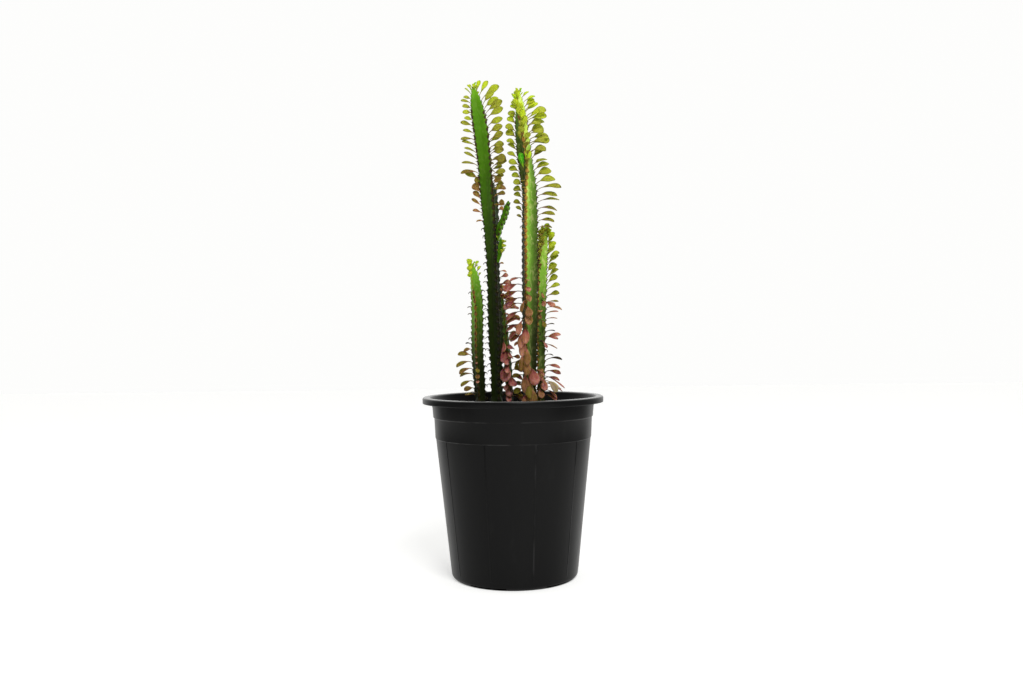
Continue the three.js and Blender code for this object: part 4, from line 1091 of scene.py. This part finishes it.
def add_body(shape, stem):
    """A tube of rings up the stem's path, each shaped to the three ridges at its height."""
    layers = {name: shape.verts.layers.float[name] for name in body_layers}
    humps = [[node.height for node in stem.nodes if node.ridge == ridge] for ridge in range(3)]
    bottom, top = stem.path[0][0], stem.top
    rings = round((top - bottom) / ring_spacing)
    first = len(shape.verts)
    bmesh.ops.create_cone(shape, segments=ring_sides, radius1=1, radius2=1, depth=2, cap_ends=True)
    shape.verts.ensure_lookup_table()
    upright = {
        edge
        for vert in shape.verts[first:]
        for edge in vert.link_edges
        if abs(edge.verts[0].co.z - edge.verts[1].co.z) > 1
    }
    bmesh.ops.subdivide_edges(shape, edges=list(upright), cuts=rings - 1)
    shape.verts.ensure_lookup_table()
    for vert in shape.verts[first:]:
        height = bottom + (top - bottom) * (vert.co.z + 1) / 2
        even = math.degrees(math.atan2(vert.co.x, -vert.co.y)) % 360
        around = even - math.degrees(corner_crowding / 3 * math.sin(math.radians(3 * even)))
        ridge = round(around / 120) % 3
        off = abs((around - 120 * ridge + 180) % 360 - 180)
        hump = hump_at(humps[ridge], height)
        ridged = smooth_step(height, neck_top, ridged_from)
        girth = smooth(stem.girth, height, 1)
        share = section_radius(off)
        crest = math.exp(-((off / crest_spread) ** 2))
        proud = (hump - hump_middle) * hump_height * crest * min(1, girth / full_hump_girth)
        radius = stem.neck + (girth * share + proud - stem.neck) * ridged
        heading = straight(stem.turn, height, 1) + around
        vert.co = Vector((centre_at(stem, height) + outward(heading) * radius) * MM)
        face = int(around // 120) % 3
        across = (around % 120) / 120
        # A face's shade is the skin table's lightness, partly its own colour and partly painted light and
        # shade, less the painted shade across the face, which dies out towards the tip.
        fade = stem.fade[face] * (1 - smooth_step(height, top - shade_across_lost[0], top - shade_across_lost[1]))
        vert[layers["shade"]] = straight(stem.skin, height, 1 + face) - fade * across
        vert[layers["ridge"]] = 1 - off / 60
        vert[layers["node"]] = hump * math.exp(-((off / node_spread) ** 2))
        vert[layers["young"]] = smooth_step(height, top - young_top[0], top - young_top[1])
        vert[layers["middle"]] = math.sin(math.pi * across)
        vert[layers["cork"]] = straight(stem.crest, height, 1 + ridge)
        vert[layers["marbled"]] = stem.marbled


def green_skin():
    """Waxy skin with pale marbling, and dark or tan cork along its ridges."""
    finish, paint = new_finish("green_skin")
    cells = paint.grain(260, 3, (1, 1, 0.5))
    patches = paint.grain(55, 3, (1, 1, 0.35), 0.6, 0.6)
    streaks = paint.grain(120, 4, (1, 1, 0.6), 0.62, 1.6).between(0.5, 0.66)
    ridge = paint.attribute("ridge")
    node = paint.attribute("node")
    shade = paint.attribute("shade")
    marbled = paint.attribute("marbled")
    # The shade attribute holds the skin's own lightness mixed with painted light and shade.
    lightness = shade + (patches - 0.5) * 0.16 + (cells - 0.5) * 0.06
    lightness = lightness + node.between(0.35, 1.0) * ridge * shade * 0.2
    skin = lightness.ramp(
        [
            (0.0, colour(12, 16, 5)),
            (0.15, colour(26, 36, 9)),
            (0.35, colour(42, 70, 8)),
            (0.55, colour(66, 116, 8)),
            (0.75, colour(98, 158, 17)),
            (0.9, colour(150, 190, 40)),
            (1.0, colour(188, 216, 64)),
        ]
    )
    marbling = streaks * (paint.attribute("middle") * 0.6 + 0.4) * marbled
    pale = lightness.ramp(
        [(0.1, colour(60, 62, 34)), (0.5, colour(148, 156, 92)), (1.0, colour(226, 232, 150))]
    )
    faces = (marbling + marbled * 0.25).over(skin, pale)
    cork = (ridge + node * 0.16).between(0.9, 1.02) * (1 - paint.attribute("young") * 0.7)
    cork_colour = (paint.attribute("cork") + (patches - 0.5) * 0.3).ramp(
        [
            (0.0, colour(24, 24, 10)),
            (0.3, colour(76, 62, 18)),
            (0.65, colour(146, 108, 34)),
            (1.0, colour(204, 164, 76)),
        ]
    )
    paint.surface(
        {
            "Base Color": (cork * 0.9).over(faces, cork_colour),
            "Roughness": 0.42 + cells * 0.16 + cork * 0.2,
            "Specular IOR Level": 0.09,
            "Specular Tint": (0.6, 0.8, 0.3, 1),
            "Subsurface Weight": 0.1,
            "Subsurface Radius": (0.003, 0.006, 0.0015),
            "Subsurface Scale": 1.0,
            "Normal": (cells * 0.5 + patches).bump(0.0006, 0.5),
        }
    )
    return finish


for stem in stems:
    stem.nodes = nodes_of(stem)
    for shoot in stem.shoots:
        shoot.nodes = shoot_nodes(shoot)

skin = green_skin()
for stem in stems:
    body = new_shape(body_layers)
    for upright in (stem, *stem.shoots):
        add_body(body, upright)
    add_piece(stem.name + "_skin", body, skin, "plant", stem.name)


# Leaves
# Each leaf is a spoon-shaped blade on a thin stalk from the crest of a ridge. The blade is fleshy,
# folded a little along its rib. Young leaves are lime, and old ones turn tan, pink and burgundy.
leaf_stations = (0, 0.14, 0.27, 0.31, 0.37, 0.45, 0.54, 0.64, 0.74, 0.83, 0.9, 0.95, 0.985, 1)
blade_start = 0.28
leaf_columns = 4
stalk_half_width = 0.65
leaf_thickness = 0.9
leaf_fold = math.radians(19)
leaf_growth = 1.32
old_growth = 1.15
old_heights = (450, 530)
hanging_stretch = 1.12
hanging_twist = 28
hanging_cup = 2.2
tip_twist = 14
edge_wave = 0.09
early_bend = 0.6
leaf_clearance = 1.5
stem_clearance = 1
clear_above_top = 12
tooth_length = 3.2
swings = (0, 22, -22, 44, -44)
# A feeler is how far along the leaf it is, and how much of the leaf's width it reaches over.
feelers = ((0.35, 0.3), (0.55, 0.75), (0.75, 1), (0.9, 0.8), (1, 0.3))
dry_width = 5
dry_height = 420
bare_top = 40
fallen_below = -0.55
tuft_leaves = 7
tuft_depth = 9
tuft_spacing = 1.3
tuft_turn = 137.5
stalk_length = 8
stalk_width = 1.3
leaf_layers = ("along", "across", "tone", "chance", "dry")


def leaf_direction(leaf, share):
    """Where the leaf points at a share of its length."""
    rise = math.radians(leaf.rise + leaf.bend * share)
    return outward(leaf.heading) * math.cos(rise) + np.array([0, 0, math.sin(rise)])


def leaf_point(leaf, share):
    """A point of the leaf's midline, reached in short steps from its root."""
    steps = max(1, math.floor(share * 10 + 0.5))
    point = leaf.root.copy()
    for i in range(steps):
        point = point + leaf_direction(leaf, (i + 0.5) / steps * share) * (leaf.length * share / steps)
    return point


def is_clear(points, reaches, own_stem, others):
    """True where a leaf's feelers keep off the other stems and off the leaves already grown on them."""
    for stem in stems:
        for point, reach in zip(points, reaches):
            if stem is own_stem or point[2] > stem.top + clear_above_top:
                continue
            centre = centre_at(stem, min(point[2], stem.top))
            room = smooth(stem.girth, point[2], 1) + tooth_length + stem_clearance + reach
            if math.hypot(point[0] - centre[0], point[1] - centre[1]) < room:
                return False
    for other_points, other_reaches in others:
        gaps = np.linalg.norm(points[:, None] - other_points[None], axis=2)
        if (gaps < reaches[:, None] + other_reaches[None] + leaf_clearance).any():
            return False
    return True


def grow_leaves():
    """Gives each node its leaf; one swings aside to keep clear, or else the node stays bare."""
    others = []
    for stem in stems:
        own = []
        for leaf in stem.nodes:
            if leaf.length < smallest_leaf:
                continue
            for swing in swings:
                swung = Leaf(**{**vars(leaf), "heading": leaf.heading + swing})
                points = np.array([leaf_point(swung, share) for share, _ in feelers])
                reaches = np.array([width * leaf.width / 2 for _, width in feelers])
                if is_clear(points, reaches, stem, others):
                    leaf.heading = swung.heading
                    leaf.leafy = True
                    own.append((points, reaches))
                    break
        if own:
            others.append((np.concatenate([p for p, _ in own]), np.concatenate([r for _, r in own])))


def half_width(leaf, share):
    """Half the leaf's width: a thin stalk, then a blade that is widest past its middle."""
    if share <= blade_start:
        return stalk_half_width
    spread = ((share - blade_start) / (1 - blade_start)) ** (1.45 + 0.3 * leaf.chance - 0.3 * leaf.hang)
    swell = max(0, math.sin(math.pi * spread)) ** (0.85 if spread < 0.5 else 0.55)
    return max(stalk_half_width * (1 - 0.6 * share), swell * leaf.width / 2)


def full_grown(leaf):
    """Old leaves low on the plant have grown longest, most of all those that hang."""
    grown = Leaf(**vars(leaf))
    if leaf.dry == 0:
        old = 1 - smooth_step(leaf.root[2], *old_heights)
        grown.length *= leaf.longer * (1 + (old_growth - 1) * old)
        grown.length *= 1 + (hanging_stretch - 1) * leaf.hang
        grown.rise -= leaf.opened
        grown.heading += leaf.sway
        grown.width *= leaf.wider * leaf_growth * (1 + (old_growth - 1) * old)
        grown.width *= 1 + 0.2 * leaf.twist * leaf.hang
    return grown


def bent(leaf, share):
    """A living leaf makes most of its bend within its stalk, and its blade is nearly straight."""
    early = 0 if leaf.dry else early_bend + 0.15 * leaf.hang
    return share + (min(1, share / 0.4) - share) * early


def leaf_spine(leaf):
    """The points of the leaf's midline at its stations, with the direction at each."""
    point = leaf.root.copy()
    spine = []
    before = 0
    for share in leaf_stations:
        for i in range(4):
            part = before + (share - before) * (i + 0.5) / 4
            point = point + leaf_direction(leaf, bent(leaf, part)) * leaf.length * (share - before) / 4
        spine.append((point, leaf_direction(leaf, bent(leaf, share))))
        before = share
    return spine


def add_leaf(shape, leaf, columns=leaf_columns):
    layers = {name: shape.verts.layers.float[name] for name in leaf_layers}
    grown = full_grown(leaf)
    spine = leaf_spine(grown)
    flat_side = np.cross([0, 0, 1], outward(grown.heading))
    grid = bmesh.ops.create_grid(shape, x_segments=len(leaf_stations) - 1, y_segments=columns, size=1)
    for vert in grid["verts"]:
        station = round((vert.co.x + 1) / 2 * (len(leaf_stations) - 1))
        across = vert.co.y
        share = leaf_stations[station]
        centre, along = spine[station]
        turn = (leaf.roll + hanging_twist * leaf.twist * leaf.hang) * min(1, share * 2.5)
        turn += tip_twist * leaf.chance * max(0, share - 0.6)
        roll = math.radians(turn)
        side = flat_side * math.cos(roll) + np.cross(along, flat_side) * math.sin(roll)
        up = np.cross(along, side)
        half = half_width(grown, share)
        blade = smooth_step(share, blade_start, 0.5)
        cup = abs(across) ** 1.5 * math.sin(leaf_fold) * (1 - hanging_cup * leaf.hang)
        along_edge = 11 * share + 5 * leaf.chance + (2 if across > 0 else 0)
        wave = edge_wave * math.sin(along_edge) * abs(across)
        point = centre + side * (half * across * math.cos(leaf_fold)) + up * half * (cup + wave) * blade
        vert.co = Vector(point * MM)
        vert[layers["along"]] = share
        vert[layers["across"]] = across
        vert[layers["tone"]] = leaf.tone
        vert[layers["chance"]] = leaf.chance
        vert[layers["dry"]] = leaf.dry


def leaf_skin():
    """Fleshy and faintly ribbed; the tone runs through its colours as a leaf grows old."""
    finish, paint = new_finish("leaf_skin")
    along = paint.attribute("along")
    across = paint.attribute("across")
    tone = paint.attribute("tone")
    chance = paint.attribute("chance")
    dry = paint.attribute("dry")
    edge = across * across
    blotches = paint.grain(110, 3, roughness=0.6, distortion=0.8)
    fine = paint.grain(700, 3)
    ribs = paint.node("ShaderNodeMath", {"operation": "SINE"}, {0: along * 62 - abs(across) * 9})
    blade = along.between(0.27, 0.36)
    # The tone is pushed towards older colours near the blade's base: partly the leaf's own brown base and
    # partly painted shade near the stalk.
    age_and_base_shade = tone + (blotches - 0.5) * 0.32 + (fine - 0.5) * 0.02 + (1 - along.between(0.3, 0.62)) * 0.22
    body = ((age_and_base_shade + 0.25) * (1 / 1.3)).ramp(
        [
            (0.0, colour(66, 178, 24)),
            (0.14, colour(132, 190, 30)),
            (0.21, colour(188, 206, 42)),
            (0.32, colour(160, 166, 52)),
            (0.42, colour(142, 138, 48)),
            (0.51, colour(116, 104, 38)),
            (0.6, colour(108, 76, 38)),
            (0.69, colour(144, 98, 66)),
            (0.78, colour(156, 82, 80)),
            (0.88, colour(122, 46, 56)),
            (1.0, colour(60, 26, 26)),
        ]
    )
    midrib = (1 - edge.between(0.0, 0.03)) * blade
    midrib_colour = tone.ramp(
        [(0.0, colour(196, 214, 96)), (0.3, colour(74, 78, 20)), (0.7, colour(176, 122, 96))]
    )
    margin = edge.between(0.55, 1.0) * blade
    margin_colour = tone.ramp(
        [(0.05, colour(110, 116, 24)), (0.3, colour(66, 46, 20)), (0.8, colour(176, 124, 104))]
    )
    old = tone.between(0.5, 0.75)
    shaded = (old * (1 - along.between(0.36, 0.75)) * 0.5).over(body, colour(78, 38, 28))
    flushed = (old * along.between(0.55, 0.9) * blotches.between(0.38, 0.6) * 0.55).over(
        shaded, colour(208, 152, 140)
    )
    veined = (midrib * 0.28 + ribs.between(0.6, 1.0) * blade * 0.1).over(flushed, midrib_colour)
    rimmed = (margin * 0.5).over(veined, margin_colour)
    tip = along.between(0.9, 1.0) * chance.between(-0.3, 0.5)
    tipped = (tip * 0.65).over(rimmed, colour(62, 40, 22))
    stalk_colour = tone.ramp(
        [(0.0, colour(140, 132, 60)), (0.3, colour(112, 82, 60)), (0.9, colour(66, 34, 30))]
    )
    living = blade.over(stalk_colour, tipped)
    withered = dry.ramp([(0.5, colour(40, 28, 22)), (1.0, colour(172, 152, 124))])
    paint.surface(
        {
            "Base Color": dry.between(0.1, 0.3).over(living, withered),
            "Roughness": 0.42 + fine * 0.15,
            "Specular IOR Level": 0.11,
            "Specular Tint": (0.8, 0.75, 0.4, 1),
            "Subsurface Weight": 0.55,
            "Subsurface Radius": (0.004, 0.005, 0.001),
            "Subsurface Scale": 1.0,
            "Normal": (ribs * 0.25 + fine * 0.4 + blotches - midrib * 0.5).bump(0.0005, 0.5),
        }
    )
    return finish


def tuft_of(stem):
    """Tiny lime leaves round the growing tip."""
    draw = draws(stem.seed + 1)
    for i in range(tuft_leaves):
        height = stem.top - tuft_depth + tuft_spacing * i
        heading = straight(stem.turn, height, 1) + tuft_turn * i
        yield Leaf(
            root=centre_at(stem, height) + outward(heading) * smooth(stem.girth, height, 1) * 0.6,
            heading=heading,
            length=8.5 + 2 * draw(),
            width=4.2 + draw(),
            rise=78 + 8 * draw(),
            bend=-30 + 15 * draw(),
            roll=25 * draw(),
            tone=-0.02 + 0.05 * draw(),
            chance=draw(),
            wider=0.8,
        )


def withered_stalk(node):
    """What is left of a fallen leaf: a thin dark stalk that curls down."""
    stalk = Leaf(**vars(node))
    stalk.length = stalk_length + 3 * node.chance
    stalk.width = stalk_width
    stalk.rise = 35 + 30 * node.chance
    stalk.bend = -150 + 40 * node.chance
    stalk.heading = node.crest_heading + 25 * node.chance
    stalk.dry = 0.5
    stalk.hang = 0
    return stalk


def single_leaf(stem, row):
    """A leaf that stands by itself, off the regular row on its ridge."""
    height, heading, length, width, rise, bend, roll, tone, dry = row
    off = abs((heading - straight(stem.turn, height, 1) + 60) % 120 - 60)
    reach = smooth(stem.girth, height, 1) * section_radius(off) - leaf_root_sunk
    return Leaf(
        root=centre_at(stem, height) + outward(heading) * reach,
        heading=heading,
        length=length,
        width=width,
        rise=rise,
        bend=bend,
        roll=roll,
        tone=tone,
        chance=0.3,
        wider=1 / leaf_growth,
        dry=dry,
    )


grow_leaves()
foliage = leaf_skin()
for stem in stems:
    leaves = new_shape(leaf_layers)
    for node in stem.nodes:
        if node.leafy:
            if node.width < dry_width and node.height < dry_height:
                node.dry = 0.5
            add_leaf(leaves, node)
        elif stem.top - node.height >= bare_top and node.chance > fallen_below:
            add_leaf(leaves, withered_stalk(node), columns=2)
    for leaf in tuft_of(stem):
        add_leaf(leaves, leaf)
    for row in stem.single_leaves:
        add_leaf(leaves, single_leaf(stem, row))
    for shoot in stem.shoots:
        for node in shoot.nodes:
            if node.leafy:
                add_leaf(leaves, node)
    foliage_piece = add_piece(stem.name + "_leaves", leaves, foliage, "plant", stem.name)
    flesh = foliage_piece.modifiers.new("flesh", "SOLIDIFY")
    flesh.thickness = leaf_thickness * MM
    flesh.offset = 0


# Teeth and spines
# Nearly every node of a ridge carries a corky shield and a small horn with a pair of short dark
# spines, hard and dry where the stem is soft.
horn_length = 4.6
horn_radius = 1.9
spine_length = 3.6
spine_radius = 0.42
blunt_share = 0.16
shield_size = (5.8, 2.8, 8.6)
full_size_neck = 10
young_horn = 0.55
shoot_horn = 0.62
shoot_cork = 0.15
thorn_layers = ("tip", "cork")


def add_cone(shape, root, direction, length, radius, sides):
    tip = shape.verts.layers.float["tip"]
    cone = bmesh.ops.create_cone(
        shape,
        segments=sides,
        radius1=radius * MM,
        radius2=radius * blunt_share * MM,
        depth=length * MM,
        cap_ends=True,
    )["verts"]
    for vert in cone:
        vert[tip] = 0 if vert.co.z < 0 else 1
    lay = Vector(direction).to_track_quat("Z", "Y").to_matrix().to_4x4()
    up = Matrix.Translation((0, 0, length / 2 * MM))
    bmesh.ops.transform(shape, matrix=Matrix.Translation(Vector(root * MM)) @ lay @ up, verts=cone)


def add_thorn(shape, node, size, cork):
    """A corky shield on the crest, a horn on it and its two spines, spread to either side."""
    root, chance = node.root, node.chance
    out = outward(node.crest_heading)
    side = np.cross([0, 0, 1], out)
    up = np.array([0, 0, 1])
    first = len(shape.verts)
    add_cone(shape, root, out + (0.35 + 0.2 * chance) * up, horn_length * size, horn_radius * size, 6)
    base = root + out * horn_length * size * 0.6
    for way in (-1, 1):
        direction = out + way * (0.55 + 0.15 * chance) * side + (0.25 + 0.2 * chance * way) * up
        add_cone(shape, base, direction, spine_length * size * (1 + 0.25 * chance), spine_radius, 4)
    shield = bmesh.ops.create_icosphere(shape, subdivisions=2, radius=0.5 * MM)["verts"]
    tip = shape.verts.layers.float["tip"]
    for vert in shield:
        vert[tip] = 0.35
    flatten = Matrix.Diagonal((*(side * size for side in shield_size), 1))
    turn = Matrix.Rotation(math.radians(node.crest_heading), 4, "Z")
    seat = Matrix.Translation(Vector((root + out * 1.1 * size - up * 2.2 * size) * MM))
    bmesh.ops.transform(shape, matrix=seat @ turn @ flatten, verts=shield)
    shape.verts.ensure_lookup_table()
    cork_layer = shape.verts.layers.float["cork"]
    for vert in shape.verts[first:]:
        vert[cork_layer] = cork


def thorn_finish():
    """Dull cork that darkens to nearly black spines."""
    finish, paint = new_finish("corky_thorns")
    grain = paint.grain(900, 3)
    patches = paint.grain(240, 3)
    cork_colour = (paint.attribute("cork") + (patches - 0.5) * 0.35).ramp(
        [
            (0.0, colour(18, 20, 9)),
            (0.3, colour(66, 50, 18)),
            (0.65, colour(144, 96, 34)),
            (1.0, colour(204, 158, 78)),
        ]
    )
    dark = (paint.attribute("tip") + (grain - 0.5) * 0.3).between(0.4, 1.0)
    paint.surface(
        {
            "Base Color": dark.over(cork_colour, colour(30, 20, 16)),
            "Roughness": 0.6 + grain * 0.2,
            "Specular IOR Level": 0.25,
            "Normal": grain.bump(0.0004, 0.7),
        }
    )
    return finish


thorns = thorn_finish()
for stem in stems:
    horns = new_shape(thorn_layers)
    for node in stem.nodes:
        size = min(1, stem.neck / full_size_neck)
        if stem.top - node.height < bare_top:
            size *= young_horn
        cork = straight(stem.crest, node.height, 1 + node.ridge)
        add_thorn(horns, node, size, cork)
    for shoot in stem.shoots:
        for node in shoot.nodes:
            if not node.leafy:
                add_thorn(horns, node, shoot_horn, shoot_cork)
    add_piece(stem.name + "_thorns", horns, thorns, "plant", stem.name)


# Floor and light
# A plain white floor that glows a little, so that it looks brightly lit; beneath the pot it is
# painted nearly black and does not glow, a painted shadow. The room lights from both sides and is
# dim behind the camera, with a soft lamp over the camera. Gloss mirrors the bright wall behind the
# plant, and little of the floor that lies far out to either side.
floor_size = 12
floor_glow = 0.45
shadow_under_pot = (0.098, 0.102)
lamp_place = Vector((0.5, -1.7, 2.1))
lamp_aim = Vector((0, 0, 0.5))
lamp_size = 0.9
lamp_power = 42

floor_shape = bmesh.new()
bmesh.ops.create_grid(floor_shape, x_segments=1, y_segments=1, size=floor_size / 2)
floor_mesh = mesh_of("floor", floor_shape)
floor_finish, floor_paint = new_finish("white_floor")
floor_place = floor_paint.place()
from_pot = floor_paint.node("ShaderNodeVectorMath", {"operation": "LENGTH"}, {0: floor_place}, output=1)
towards = floor_paint.node("ShaderNodeVectorMath", {"operation": "NORMALIZE"}, {0: floor_place})
open_floor = from_pot.between(*shadow_under_pot)
far_off = from_pot.between(0.9, 2.2)
far_beside = abs(towards.axis(0)).between(0.66, 0.94) * from_pot.between(0.6, 1.2)
mirrored = floor_paint.node("ShaderNodeLightPath", output=3)
unseen = mirrored * far_beside
plain = far_off.over(colour(214, 214, 213), colour(222, 222, 221))
glowing = open_floor * (1 - mirrored * 0.5 - unseen * 0.4)
floor_paint.surface(
    {
        # Beneath the pot the floor is painted nearly black and does not glow: a painted shadow.
        "Base Color": (open_floor * (1 - unseen * 0.8)).over(colour(16, 16, 16), plain),
        "Roughness": 0.7,
        "Specular IOR Level": 0.1,
        "Emission Color": glowing.over(colour(0, 0, 0), colour(255, 255, 254)),
        "Emission Strength": floor_glow,
    }
)
floor_mesh.materials.append(floor_finish)
floor = bpy.data.objects.new("floor", floor_mesh)
scene.collection.objects.link(floor)


def grey(level):
    return (level, level, level, 1)


room = bpy.data.worlds.new("white_room")
room.use_nodes = True
room.node_tree.nodes.clear()
air = Paint(room.node_tree)
ahead = {0: air.node("ShaderNodeTexCoord", output=0), 1: (0, 1, 0)}
facing = air.node("ShaderNodeVectorMath", {"operation": "DOT_PRODUCT"}, ahead, output=1) * 0.5 + 0.5
glow = facing.ramp(
    [(0.15, grey(0.22)), (0.57, grey(1)), (0.76, grey(1)), (0.86, grey(0.55)), (0.94, grey(0.3))]
)
sheen = facing.ramp([(0.15, grey(0.2)), (0.7, grey(0.42)), (0.84, grey(1))])
seen = air.node("ShaderNodeLightPath")
reflected = air.node("ShaderNodeLightPath", output=3)
strength = seen + (1 - seen) * (reflected * sheen + (1 - reflected) * glow) * 1.1
wall = air.node("ShaderNodeBackground", {}, {"Color": (0.985, 0.985, 0.975, 1), "Strength": strength})
air.node("ShaderNodeOutputWorld", {}, {"Surface": wall})
scene.world = room
scene.view_settings.view_transform = "Standard"

lamp = bpy.data.lights.new("front_lamp", "AREA")
lamp.size = lamp_size
lamp.energy = lamp_power
shining = bpy.data.objects.new("front_lamp", lamp)
shining.location = lamp_place
shining.rotation_euler = (lamp_aim - lamp_place).to_track_quat("-Z", "Y").to_euler()
scene.collection.objects.link(shining)

bpy.context.view_layer.update()
